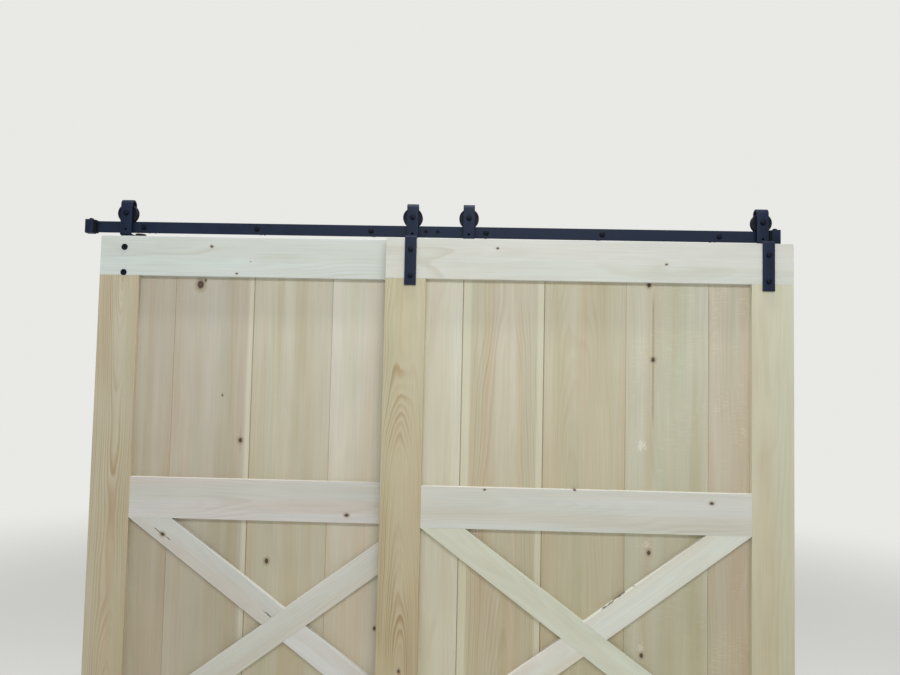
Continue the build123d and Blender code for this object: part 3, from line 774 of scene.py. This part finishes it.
def grown(name: str, source: ID, values: dict[str, float], material: Material,
          draw: Callable[[NodeTree, Sockets], Node]) -> Mesh:
    """Grow a plain mesh by Geometry Nodes.

    Args:
        name: Name of the tree and of the mesh.
        source: Mesh or curve that goes into the tree.
        values: Value of each of the tree's named inputs.
        material: Finish that the tree sets.
        draw: Adds the nodes that draw the shape to a tree with those inputs, and returns the last.

    Returns:
        The mesh.
    """
    values = {**values, "Finish": material}
    sockets = {"Geometry": ["Geometry"], "Material": ["Finish"]}
    for title, value in values.items():
        if value is not material:
            sockets.setdefault("Int" if isinstance(value, int) else "Float", []).append(title)
    tree, given = new_group(name, "GeometryNodeTree", sockets, {"Geometry": ["Geometry"]})
    plain = add(tree, "GeometryNodeRealizeInstances", (draw(tree, given),))
    dressed = add(tree, "GeometryNodeSetMaterial", {"Geometry": plain, "Material": given["Finish"]})
    add(tree, "NodeGroupOutput", {"Geometry": dressed})
    carrier = placed(f"{name}_source", source)
    modifier = carrier.modifiers.new(name, "NODES")
    modifier.node_group = tree
    for item in tree.interface.items_tree:
        if item.in_out == "INPUT" and item.name in values:
            modifier[item.identifier] = values[item.name]
    bpy.context.view_layer.update()
    depsgraph = bpy.context.evaluated_depsgraph_get()
    mesh = bpy.data.meshes.new_from_object(carrier.evaluated_get(depsgraph))
    mesh.name = name
    carrier.modifiers.remove(modifier)
    bpy.data.objects.remove(carrier)
    return mesh


def scattered(tree: NodeTree, points: Source, screw: Source, widest: float, seed: Source) -> Node:
    """Set a screw on every point, each turned by its own angle about Y.

    Args:
        tree: Geometry tree that takes the nodes.
        points: Points that take a screw.
        screw: The screw.
        widest: Largest turn in radians.
        seed: Seed of the turns.

    Returns:
        The node that gives the screws.
    """
    turn = add(tree, "FunctionNodeRandomValue", {0: (0.0, 0.0, 0.0), 1: (0.0, widest, 0.0), "Seed": seed},
               data_type="FLOAT_VECTOR")
    return add(tree, "GeometryNodeInstanceOnPoints", {"Points": points, "Instance": screw, "Rotation": turn})


# Leaves

@dataclass(frozen=True)
class Leaf:
    """Door leaf: its boards, each with a finish of its own."""

    side: str
    boards: tuple[Board, ...]
    seed: float
    seed_step: float = 3.7

    def dress(self, pine: PlanedPine) -> None:
        """Give every board its own cut of the wood.

        Args:
            pine: The wood.
        """
        low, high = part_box(f"{self.side}_top_rail")
        corner = Vector((low.x, low.y, high.z))
        for count, board in enumerate(self.boards):
            node = f"{self.side}_{board.name}"
            material = pine.build(node, board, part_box(node), corner, self.seed + self.seed_step * count)
            dress(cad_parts[node], material)


# Dried resin on a board: a dull white bloom
RESIN = "#EDECE2"

REAR_LEAF = Leaf("rear", (
    Board("top_rail", LEVEL, "#C8D0CC", (40.0, 120.0), 0.02, 7.0, 0.26, 0.25,
          knots=(Knot(395.6, 33.9, 3.6), Knot(535.5, 84.7, 1.4), Knot(487.7, 128.0, 2.6)), shift=1.5),
    Board("mid_rail", LEVEL, "#C9C7C3", (-10.0, 60.0), 0.04, 8.0, 0.2, 0.5, knots=(Knot(899.4, 958.3, 5.0),)),
    Board("bottom_rail", LEVEL, "#C6C4BA", (20.0, 90.0), 0.02, 9.0, 0.15, 0.4),
    Board("left_stile", UPRIGHT, "#BBB49E", (12.0, 28.0), 0.0, 6.0, 0.6, 0.5, painted_foot_light="#FFFDF8", bow=0.00008),
    Board("right_stile", UPRIGHT, "#C0B79F", (-15.0, 60.0), 0.03, 9.0, 0.3, 0.6),
    Board("long_brace", RISING, "#CBC9C2", (5.0, 70.0), 0.02, 8.0, 0.12, 0.5),
    Board("upper_half_brace", FALLING, "#C6C7C2", (0.0, 80.0), 0.02, 9.0, 0.12, 0.5,
          knots=(Knot(262.3, 1039.5, 5.6),),
          marks=(Mark(247.0, 1029.0, 58.0, 5.0), Mark(284.0, 1054.0, 44.0, 4.0), Mark(641.4, 1303.2, 52.0, 6.0))),
    Board("lower_half_brace", FALLING, "#CFCFCC", (10.0, 80.0), 0.02, 9.0, 0.12, 0.5),
    Board("panel_board_1", UPRIGHT, "#B7AF9E", (60.0, 90.0), 0.02, 9.0, 0.1, 0.6),
    Board("panel_board_2", UPRIGHT, "#BCB6A8", (-30.0, 110.0), 0.014, 10.0, 0.08, 0.6, painted_seam_shadows=(0.0, 0.8),
          strips=(PaleStrip(False, 24.0, 0.42),),
          knots=(Knot(354.3, 166.8, 11.0, 24.0), Knot(372.0, 151.0, 3.4), Knot(447.0, 555.6, 2.8),
                 Knot(516.4, 712.0, 6.4, 60.0)), shift=2.0),
    Board("panel_board_3", UPRIGHT, "#C2BEAC", (20.0, 120.0), 0.02, 10.0, 0.08, 0.6, painted_seam_shadows=(0.8, 0.0),
          knots=(Knot(622.7, 1126.0, 6.4),)),
    Board("panel_board_4", UPRIGHT, "#CECABC", (-50.0, 100.0), 0.018, 10.0, 0.08, 0.6,
          knots=(Knot(1004.0, 1343.5, 4.4),)),
    Board("panel_board_5", UPRIGHT, "#C5BFAA", (30.0, 110.0), 0.02, 10.0, 0.08, 0.6),
), seed=2.3)

FRONT_LEAF = Leaf("front", (
    Board("top_rail", LEVEL, "#CDCFC9", (-20.0, 120.0), 0.02, 7.0, 0.24, 0.3,
          knots=(Knot(383.5, 31.2, 2.8), Knot(958.0, 77.0, 2.8)), shift=1.0),
    Board("mid_rail", LEVEL, "#CCCEC8", (15.0, 60.0), 0.05, 8.0, 0.2, 0.5,
          knots=(Knot(354.0, 852.1, 2.6), Knot(656.5, 845.3, 2.6), Knot(1112.7, 878.5, 4.6)), shift=1.5),
    Board("bottom_rail", LEVEL, "#CACBC2", (10.0, 90.0), 0.02, 9.0, 0.15, 0.4),
    Board("left_stile", UPRIGHT, "#C0B99E", (4.0, 30.0), -0.05, 4.6, 0.8, 0.4,
          knots=(Knot(78.2, 1460.7, 3.8),), painted_foot_light="#F3EADF"),
    Board("right_stile", UPRIGHT, "#CCCAB6", (-25.0, 70.0), 0.02, 10.0, 0.14, 0.4),
    Board("long_brace", FALLING, "#CCD2C2", (5.0, 70.0), 0.03, 9.0, 0.16, 0.4),
    Board("upper_half_brace", RISING, "#D4D7CD", (0.0, 80.0), 0.02, 9.0, 0.12, 0.5,
          marks=(Mark(799.0, 1201.5, 190.0, 6.0),)),
    Board("lower_half_brace", RISING, "#D8D7CF", (10.0, 80.0), 0.02, 9.0, 0.12, 0.5),
    Board("panel_board_1", UPRIGHT, "#D0CEBE", (50.0, 90.0), 0.02, 9.0, 0.1, 0.4, painted_seam_shadows=(0.0, 0.8)),
    Board("panel_board_2", UPRIGHT, "#C5BFAB", (10.0, 50.0), -0.035, 7.0, 0.3, 0.6, painted_seam_shadows=(0.8, 0.8),
          strips=(PaleStrip(True, 30.0, 0.42), PaleStrip(False, 28.0, 0.42))),
    Board("panel_board_3", UPRIGHT, "#C1BBA4", (-20.0, 60.0), -0.04, 7.0, 0.2, 0.6, painted_seam_shadows=(0.8, 0.0)),
    Board("panel_board_4", UPRIGHT, "#C3C2B0", (40.0, 130.0), 0.02, 10.0, 0.1, 0.6, 0.4,
          knots=(Knot(904.5, 146.0, 6.0, 20.0), Knot(920.0, 402.0, 6.0, 240.0), Knot(909.5, 1051.0, 5.6),
                 Knot(887.5, 1390.5, 5.0)),
          marks=(Mark(882.8, 694.7, 56.0, 46.0, RESIN, 0.32), Mark(904.0, 1024.0, 38.0, 30.0, RESIN, 0.25),
                 Mark(886.0, 1366.0, 38.0, 30.0, RESIN, 0.25)), shift=2.0),
    Board("panel_board_5", UPRIGHT, "#C2BAA8", (-30.0, 60.0), 0.022, 9.0, 0.12, 0.6, 0.9),
), seed=61.9)


# Hangers

@dataclass(frozen=True)
class StrapHanger:
    """Flat bar bent over a wheel and stepped down to a leaf, in millimetres.

    Attributes:
        leaf: Leaf that hangs from it, rear or front.
        low_middle: Place of the bar's middle on the leaf, along Y.
    """

    leaf: str
    low_middle: float
    width: float = 40.0
    thickness: float = 6.0
    eased_edge: float = 0.8
    rail_middle: float = -48.0
    leg_centre: float = 16.5
    axle_height: float = 48.3
    top: float = 97.8
    back_leg_below_axle: float = 20.0
    shelf_centre: float = -28.5
    low_end: float = -197.0
    top_bend: float = 16.0
    shelf_bend: float = 5.5
    axle_hole: float = 10.5
    spare_hole: float = 8.5
    spare_height: float = -10.0
    bolt_hole: float = 8.5
    bolt_heights: Point = (-74.0, -164.0)
    bend_steps: int = 10
    edge_steps: int = 3
    hole_steps: int = 48
    crease: float = 30.0

    @classmethod
    def fitted(cls, leaf: str, low_middle: float) -> "StrapHanger":
        """Hanger whose axle and top stand where they do on the leaf's CAD pieces."""
        low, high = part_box(f"{leaf}_left_wheel")
        return cls(leaf, low_middle, axle_height=(low.z + high.z) / 2 / MM, top=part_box(f"{leaf}_left_hanger")[1].z / MM)

    def middle_line(self, across: float) -> Curve:
        """Draw the bar's middle line with its corners square.

        Args:
            across: Place of the hanger along X, in metres.

        Returns:
            Curve whose point radius is the radius of the bend there, in metres.
        """
        back, front = self.rail_middle + self.leg_centre, self.rail_middle - self.leg_centre
        top_centre = self.top - self.thickness / 2
        corners = [(back, self.axle_height - self.back_leg_below_axle, 0.0), (back, top_centre, self.top_bend),
                   (front, top_centre, self.top_bend), (front, self.shelf_centre, self.shelf_bend),
                   (self.low_middle, self.shelf_centre, self.shelf_bend), (self.low_middle, self.low_end, 0.0)]
        curve = bpy.data.curves.new("strap_middle_line", "CURVE")
        curve.dimensions = "3D"
        spline = curve.splines.new("POLY")
        spline.points.add(len(corners) - 1)
        for point, (along, height, bend) in zip(spline.points, corners):
            point.co = (across, along * MM, height * MM, 1.0)
            point.radius = bend * MM
        return curve

    def holes(self) -> list[tuple[float, float, float, float]]:
        """Holes of the bar, as place along Y, height, diameter and depth."""
        single = 3 * self.thickness
        low = [(self.low_middle, height, self.bolt_hole, single) for height in self.bolt_heights]
        return [(self.rail_middle, self.axle_height, self.axle_hole, 4 * self.leg_centre),
                (self.rail_middle - self.leg_centre, self.spare_height, self.spare_hole, single), *low]

    def draw(self, tree: NodeTree, given: Sockets) -> Node:
        """Sweep the bar along its middle line and drill it.

        Args:
            tree: Geometry tree that takes the nodes.
            given: The tree's inputs.

        Returns:
            The node that gives the bar.
        """
        line = add(tree, "GeometryNodeFilletCurve",
                   {"Curve": given["Geometry"], "Radius": add(tree, "GeometryNodeInputRadius"),
                    "Count": self.bend_steps}, mode="POLY")
        line = add(tree, "GeometryNodeSetCurveRadius", {"Curve": line, "Radius": 1.0})
        section = add(tree, "GeometryNodeCurvePrimitiveQuadrilateral",
                      {"Width": given["Width"], "Height": given["Thickness"]})
        section = add(tree, "GeometryNodeFilletCurve",
                      {"Curve": section, "Radius": given["Eased Edge"], "Count": self.edge_steps}, mode="POLY")
        bar = add(tree, "GeometryNodeCurveToMesh", {"Curve": line, "Profile Curve": section, "Fill Caps": True})
        for along, height, diameter, depth in self.holes():
            drill = add(tree, "GeometryNodeMeshCylinder",
                        {"Vertices": self.hole_steps, "Radius": diameter / 2 * MM, "Depth": depth * MM})
            where = add(tree, XYZ, (given["Across"], along * MM, height * MM))
            drill = add(tree, "GeometryNodeTransform",
                        {"Geometry": drill, "Translation": where, "Rotation": (math.pi / 2, 0.0, 0.0)})
            bar = add(tree, "GeometryNodeMeshBoolean", {"Mesh 1": bar, "Mesh 2": drill},
                      operation="DIFFERENCE", solver="EXACT")
        turn = add(tree, "GeometryNodeInputMeshEdgeAngle")
        flat = add(tree, "FunctionNodeCompare", (turn, math.radians(self.crease)), operation="LESS_THAN")
        for shade, domain in ((flat, "EDGE"), (True, "FACE")):
            bar = add(tree, "GeometryNodeSetShadeSmooth", {"Geometry": bar, "Shade Smooth": shade}, domain=domain)
        return bar

    def make(self, hand: str, material: Material) -> None:
        """Make one hanger in place of its CAD node.

        Args:
            hand: Side of the leaf, left or right.
            material: Finish of the bar.
        """
        node = f"{self.leaf}_{hand}_hanger"
        low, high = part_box(node)
        across = (low.x + high.x) / 2
        values = {"Width": self.width * MM, "Thickness": self.thickness * MM, "Eased Edge": self.eased_edge * MM,
                  "Across": across}
        mesh = grown(node, self.middle_line(across), values, material, self.draw)
        finished(f"{node}_bar", mesh, material, f"{self.leaf}_leaf", [node])


# Wheels and bearings

@dataclass(frozen=True)
class GroovedWheel:
    """Nylon wheel with dished faces, on a shielded ball bearing, in millimetres."""

    radius: float = 34.5
    half_width: float = 11.0
    tread: float = 28.0
    tread_width: float = 7.2
    groove_mouth: float = 13.0
    eased_edge: float = 1.2
    hub: float = 18.0
    rim_inside: float = 29.5
    dish: float = 2.0
    seat: float = 13.0
    shoulder: float = 2.0
    bearing_half: float = 4.0
    ring_wall: float = 2.4
    ring_edge: float = 0.3
    ring_fit: float = 0.02
    shield_inside: float = 7.8
    shield: float = 0.6
    shield_sunk: float = 0.25
    shield_rim: float = 0.35
    clearance: float = 0.3
    steps: int = 128

    @classmethod
    def fitted(cls) -> "GroovedWheel":
        """Wheel whose tread stands just clear of the rail's top edge, as on the CAD wheels."""
        low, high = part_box("rear_left_wheel")
        return cls(tread=((low.z + high.z) / 2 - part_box("rail_left")[1].z) / MM - cls.clearance)

    def half_profile(self) -> list[Point]:
        """Front half of the wheel's section from the hub to the tread, with rounded rim corners."""
        half, dish = self.half_width, self.half_width - self.dish
        mouth, edge = self.groove_mouth / 2, self.eased_edge
        rounding = [(self.radius - edge + edge * math.sin(a), -half + edge - edge * math.cos(a))
                    for a in (math.radians(15 * step) for step in range(7))]
        return [(self.hub - 1.0, -half), (self.hub, -half + 0.4), (self.hub + 0.5, -dish),
                (self.rim_inside - 0.5, -dish), (self.rim_inside, -half + 0.4), (self.rim_inside + 0.8, -half),
                *rounding, (self.radius, -mouth - edge), (self.radius - 0.4, -mouth - 0.4),
                (self.radius - edge, -mouth + 0.25), (self.tread + 0.5, -self.tread_width / 2),
                (self.tread, -self.tread_width / 2 + 0.5)]

    def make(self, leaf: str, hand: str, nylon: Material, steel: Material) -> None:
        """Make one wheel and its bearing in place of their CAD nodes.

        Args:
            leaf: Leaf that the wheel carries, rear or front.
            hand: Side of the leaf, left or right.
            nylon: Finish of the wheel.
            steel: Finish of the bearing.
        """
        node, bearing = f"{leaf}_{hand}_wheel", f"{leaf}_{hand}_bearing"
        low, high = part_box(node)
        place = Matrix.Translation((low + high) / 2)
        front, half, bore = self.half_profile(), self.bearing_half, self.seat - self.shoulder
        back = [(radius, -along) for radius, along in reversed(front)]
        seat = [(bore, self.half_width), (bore, half), (self.seat, half), (self.seat, -self.half_width)]
        wheel = gathered(node, [turned([*front, *back, *seat], self.steps)], place)
        finished(f"{node}_turned", wheel, nylon, node, [node])

        inside, outside, edge = self.seat - self.ring_wall, self.seat - self.ring_fit, self.ring_edge
        side = [(inside, -half + edge), (inside + edge, -half), (self.seat - edge, -half), (outside, -half + edge)]
        shapes = [turned([*side, *[(radius, -along) for radius, along in reversed(side)]])]
        for way in (-1.0, 1.0):
            face = way * (half - self.shield_sunk)
            back_face, step = face - way * self.shield, face - way * self.shield_rim
            shapes.append(turned([(self.shield_inside, step), (self.shield_inside + self.shield, face), (inside, face),
                                  (inside, back_face), (self.shield_inside, back_face)]))
        finished(f"{bearing}_turned", gathered(bearing, shapes, place), steel, node, [bearing])


# Track

@dataclass(frozen=True)
class LagScrews:
    """Row of lag screws: flanged hexagon heads in front and threads that go into the wall, in millimetres."""

    spacing: float = 406.4
    count: int = 6
    seat: float = -51.0
    shank: float = 7.0
    root: float = 5.6
    crest: float = 8.0
    thread_end: float = 50.0
    pitch: float = 3.6
    tip: float = 55.0
    flange: float = 20.0
    flange_height: float = 1.6
    hexagon: float = 13.0
    head_height: float = 4.8
    steps: int = 48
    thread_steps: int = 24
    seed: int = 4

    def core(self) -> BMesh:
        """Turned core with its flange, from the head's seat to the tip."""
        edge, front = self.flange / 2, self.seat - self.flange_height
        return turned([(0.0, front), (edge - 1.6, front), (edge - 0.5, self.seat - 1.1), (edge, self.seat - 0.6),
                       (edge, self.seat), (self.shank / 2, self.seat), (self.shank / 2, -1.0), (self.root / 2, 0.0),
                       (self.root / 2, self.thread_end - 2.0), (0.0, self.tip)], self.steps)

    def head(self) -> BMesh:
        """Hexagon head with its front corners turned off.

        Returns:
            The head, in metres.
        """
        front = self.seat - self.flange_height - self.head_height
        flat, sector = self.hexagon / 2, math.pi / 3
        angles = [math.tau * step / self.steps for step in range(self.steps)]
        reach = [flat / math.cos((angle + sector / 2) % sector - sector / 2) for angle in angles]
        drop = math.tan(math.radians(30.0))
        return skinned([ringed([flat * 0.96] * self.steps, [front] * self.steps),
                        ringed(reach, [front + drop * (radius - flat) for radius in reach]),
                        ringed(reach, [self.seat - 1.2] * self.steps)], False)

    def draw(self, tree: NodeTree, given: Sockets) -> Node:
        """Wind a thread on the core and repeat the screw along the rail.

        Args:
            tree: Geometry tree that takes the nodes.
            given: The tree's inputs.

        Returns:
            The node that gives the row.
        """
        helix = add(tree, "GeometryNodeCurveSpiral",
                    {"Resolution": self.thread_steps, "Rotations": given["Turns"], "Height": given["Length"],
                     "Start Radius": given["Root Radius"], "End Radius": given["Root Radius"]})
        along = add(tree, "GeometryNodeSplineParameter")
        rise, fall = (add(tree, RANGE, (along, *span)) for span in ((0.0, 0.05, 0.1, 1.0), (0.9, 1.0, 1.0, 0.1)))
        size = add(tree, MATH, (rise, fall), operation="MULTIPLY")
        helix = add(tree, "GeometryNodeSetCurveNormal", {"Curve": helix}, mode="Z_UP")
        helix = add(tree, "GeometryNodeSetCurveRadius", {"Curve": helix, "Radius": size})
        ridge = add(tree, "GeometryNodeCurvePrimitiveCircle", {"Resolution": 4, "Radius": given["Ridge"]})
        thread = add(tree, "GeometryNodeCurveToMesh", {"Curve": helix, "Profile Curve": ridge, "Fill Caps": True})
        thread = add(tree, "GeometryNodeTransform", {"Geometry": thread, "Rotation": (-math.pi / 2, 0.0, 0.0)})
        screw = add(tree, "GeometryNodeJoinGeometry", {"Geometry": thread})
        wire(screw, {"Geometry": given["Geometry"]})
        gaps = add(tree, MATH, (given["Count"], 1.0), operation="SUBTRACT")
        reach = add(tree, MATH, (gaps, given["Spacing"]), operation="MULTIPLY")
        start = add(tree, MATH, (reach, -0.5), operation="MULTIPLY")
        places = add(tree, "GeometryNodeMeshLine",
                     {"Count": given["Count"], "Start Location": add(tree, XYZ, (start,)),
                      "Offset": add(tree, XYZ, (given["Spacing"],))})
        return scattered(tree, places, screw, math.radians(60.0), given["Seed"])

    def make(self, material: Material) -> None:
        """Make the row of screws in place of its CAD node.

        Args:
            material: Finish of the screws.
        """
        values = {"Root Radius": self.root / 2 * MM, "Ridge": (self.crest - self.root) / 2 * MM,
                  "Length": self.thread_end * MM, "Turns": self.thread_end / self.pitch, "Count": self.count,
                  "Spacing": self.spacing * MM, "Seed": self.seed}
        mesh = grown("wall_screws", gathered("lag_screw", [self.core(), self.head()]), values, material, self.draw)
        finished("wall_screws_threaded", mesh, material, "track", ["wall_screws"])


@dataclass(frozen=True)
class BackScrews:
    """Flat screws through the upright boards of a leaf into its frame, seen from behind, in millimetres."""

    head: float = 8.4
    proud: float = 0.3
    sunk: float = 2.0
    slot_length: float = 4.4
    slot_width: float = 1.1
    slot_depth: float = 0.5
    steps: int = 32
    from_seam: float = 40.0
    rail_rows: tuple[float, ...] = (45.0, 100.0, 885.0, 943.0, 1728.0, 1783.0)
    stile_rows: tuple[float, ...] = (300.0, 500.0, 700.0, 1130.0, 1330.0, 1530.0)
    stile_middle: float = 69.85

    def places(self, side: str) -> list[Point3]:
        """Places of the screws of one leaf, on the back of its boards, in metres.

        Args:
            side: Leaf, rear or front.

        Returns:
            The places.
        """
        boxes = [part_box(f"{side}_panel_board_{count}") for count in range(1, 6)]
        top, back = boxes[0][1].z, boxes[0][1].y
        across = [edge for low, high in boxes for edge in (low.x + self.from_seam * MM, high.x - self.from_seam * MM)]
        stiles = (boxes[0][0].x + self.stile_middle * MM, boxes[-1][1].x - self.stile_middle * MM)
        return [(x, back, top - down * MM) for columns, rows in ((across, self.rail_rows), (stiles, self.stile_rows))
                for x in columns for down in rows]

    def draw(self, tree: NodeTree, given: Sockets) -> Node:
        """Set a cross-slotted head on each point.

        Args:
            tree: Geometry tree that takes the nodes.
            given: The tree's inputs.

        Returns:
            The node that gives the screws.
        """
        head = add(tree, "GeometryNodeMeshCylinder",
                   {"Vertices": self.steps, "Radius": given["Head Radius"], "Depth": given["Depth"]})
        head = add(tree, "GeometryNodeTransform",
                   {"Geometry": head, "Translation": add(tree, XYZ, {"Y": given["Middle"]}),
                    "Rotation": (math.pi / 2, 0.0, 0.0)})
        long, wide, deep = self.slot_length * MM, self.slot_width * MM, 2 * (self.proud + self.slot_depth) * MM
        for size in ((long, deep, wide), (wide, deep, long)):
            cutter = add(tree, "GeometryNodeMeshCube", {"Size": size})
            head = add(tree, "GeometryNodeMeshBoolean", {"Mesh 1": head, "Mesh 2": cutter},
                       operation="DIFFERENCE", solver="EXACT")
        return scattered(tree, given["Geometry"], head, math.pi / 2, given["Seed"])

    def make(self, side: str, material: Material, seed: int) -> None:
        """Make the screws of one leaf.

        Args:
            side: Leaf, rear or front.
            material: Finish of the screws.
            seed: Seed for the turn of their slots.
        """
        points = bpy.data.meshes.new("screw_points")
        points.from_pydata(self.places(side), [], [])
        name = f"{side}_back_screws"
        values = {"Head Radius": self.head / 2 * MM, "Depth": (self.proud + self.sunk) * MM,
                  "Middle": (self.proud - self.sunk) / 2 * MM, "Seed": seed}
        finished(name, grown(name, points, values, material, self.draw), material, f"{side}_leaf")


# View and light

@dataclass(frozen=True)
class Camera:
    """Camera at the photograph's place, in metres, radians and pixels of the 900 by 675 frame."""

    place: Point3 = (0.1536, -2.5903, -0.5026)
    yaw: float = -0.0275
    pitch: float = 0.0516
    roll: float = 0.0214
    focal_pixels: float = 727.4
    frame_width: float = 900.0
    sensor: float = 36.0
    far: float = 100.0

    def make(self) -> None:
        """Make the camera and look through it."""
        forward = Vector((math.sin(self.yaw) * math.cos(self.pitch), math.cos(self.yaw) * math.cos(self.pitch),
                          math.sin(self.pitch)))
        level = Vector((math.cos(self.yaw), -math.sin(self.yaw), 0.0))
        upright = level.cross(forward)
        right = level * math.cos(self.roll) + upright * math.sin(self.roll)
        up = upright * math.cos(self.roll) - level * math.sin(self.roll)
        lens = bpy.data.cameras.new("photo_camera")
        lens.sensor_width = self.sensor
        lens.lens = self.focal_pixels / self.frame_width * self.sensor
        lens.clip_end = self.far
        camera = placed("photo_camera", lens)
        turn = Matrix((right, up, -forward)).transposed().to_4x4()
        camera.matrix_world = Matrix.Translation(Vector(self.place)) @ turn
        bpy.context.scene.camera = camera


@dataclass(frozen=True)
class Lamp:
    """Soft rectangular lamp: where it hangs and the point that it faces, in metres, and its light in watts."""

    name: str
    place: Point3
    aim: Point3
    size: Point
    power: float

    def make(self) -> None:
        """Hang the lamp."""
        light = bpy.data.lights.new(self.name, "AREA")
        light.shape = "RECTANGLE"
        light.size, light.size_y = self.size
        light.energy = self.power
        lamp = placed(self.name, light)
        lamp.location = self.place
        lamp.rotation_euler = (Vector(self.aim) - Vector(self.place)).to_track_quat("-Z", "Y").to_euler()


@dataclass(frozen=True)
class Studio:
    """Soft studio light, a pale floor and the background that it fades into."""

    background: str = "#E9E9E6"
    ambient: float = 0.35
    floor_gap: float = 12.0
    floor_half: float = 30.0
    fade: Point = (2000.0, 6000.0)
    lamps: tuple[Lamp, ...] = (
        Lamp("key", (0.4, -3.3, 1.5), (0.0, 0.0, -0.6), (3.4, 0.6), 65.0),
        Lamp("top", (0.0, -0.5, 3.4), (0.0, -0.08, -0.8), (3.2, 0.2), 132.0),
    )

    def world(self) -> None:
        """Fill the world with even light, and with the background colour for the camera and reflections."""
        world = bpy.data.worlds.new("studio")
        world.use_nodes = True
        tree = world.node_tree
        tree.nodes.clear()
        seen = add(tree, "ShaderNodeLightPath").outputs
        direct = seen["Is Camera Ray"]
        for ray in ("Is Glossy Ray", "Is Transmission Ray"):
            direct = add(tree, MATH, (direct, seen[ray]), operation="MAXIMUM")
        light = add(tree, "ShaderNodeBackground", {"Color": (1.0, 1.0, 1.0, 1.0), "Strength": self.ambient})
        shown = add(tree, "ShaderNodeBackground", {"Color": linear(self.background), "Strength": 1.0})
        add(tree, "ShaderNodeOutputWorld", {"Surface": add(tree, "ShaderNodeMixShader", (direct, light, shown))})
        bpy.context.scene.world = world

    def floor(self) -> None:
        """Lay a pale floor that fades into the background away from the object."""
        sheet = bmesh.new()
        bmesh.ops.create_grid(sheet, x_segments=1, y_segments=1, size=self.floor_half)
        mesh = meshed(sheet, "floor")
        mesh.transform(Matrix.Translation((0.0, 0.0, CAD_BOX[0][2] - self.floor_gap * MM)))
        skin = Shading("Pale studio floor")
        flat = skin.add(VECTOR, (skin.place, (1.0, 1.0, 0.0)), operation="MULTIPLY")
        away = skin.add(VECTOR, (flat,), operation="LENGTH")
        fade = skin.add(RANGE, (away, *self.fade), **SMOOTH)
        shown = skin.add("ShaderNodeEmission", {"Color": linear(self.background), "Strength": 1.0})
        mixed = skin.add("ShaderNodeMixShader", (fade, skin.shader, shown))
        wire(skin.tree.nodes["Material Output"], {"Surface": mixed})
        wire(skin.shader, {"Base Color": linear(self.background), "Roughness": 0.9})
        floor = placed("floor", mesh)
        dress(floor, skin.material)

    def make(self) -> None:
        """Set up the light, the floor and the background."""
        bpy.context.scene.view_settings.view_transform = "Standard"
        self.world()
        for lamp in self.lamps:
            lamp.make()
        self.floor()


def main() -> None:
    """Build the door's looks piece by piece."""
    logging.basicConfig(level=logging.INFO, format="%(message)s")
    pine = PlanedPine()
    for leaf in (REAR_LEAF, FRONT_LEAF):
        leaf.dress(pine)
    coat, blacked, bearing = POWDER_COAT.build(), BLACKED_STEEL.build(), BEARING_STEEL.build()
    zinc, nylon, rubber = ZINC.build(), NYLON.build(), RUBBER.build()
    for node in ("rail_left", "rail_right", "rail_joiner"):
        dress(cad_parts[node], coat)
    for node in ("end_stop_left", "end_stop_right", "wall_spacers"):
        smoothed_copy(node, coat, "track")
    for node in ("end_stop_screws", "joiner_screws"):
        smoothed_copy(node, blacked, "track")
    LagScrews().make(blacked)
    smoothed_copy("stop_pads", rubber, "track")
    wheel = GroovedWheel.fitted()
    for leaf, low_middle, seed in (("rear", -26.5, 11), ("front", -115.5, 12)):
        hanger = StrapHanger.fitted(leaf, low_middle)
        for hand in ("left", "right"):
            hanger.make(hand, coat)
            wheel.make(leaf, hand, nylon, bearing)
        for name in ("strap_bolts", "barrel_nuts", "axle_bolts", "axle_nuts"):
            smoothed_copy(f"{leaf}_{name}", blacked, f"{leaf}_leaf")
        smoothed_copy(f"{leaf}_bearing_sleeves", bearing, f"{leaf}_leaf")
        BackScrews().make(leaf, zinc, seed)
    smoothed_copy("rear_anti_jump_discs", nylon, "rear_leaf")
    smoothed_copy("rear_anti_jump_screws", zinc, "rear_leaf")
    Camera().make()
    Studio().make()


if __name__ == "__main__":
    main()
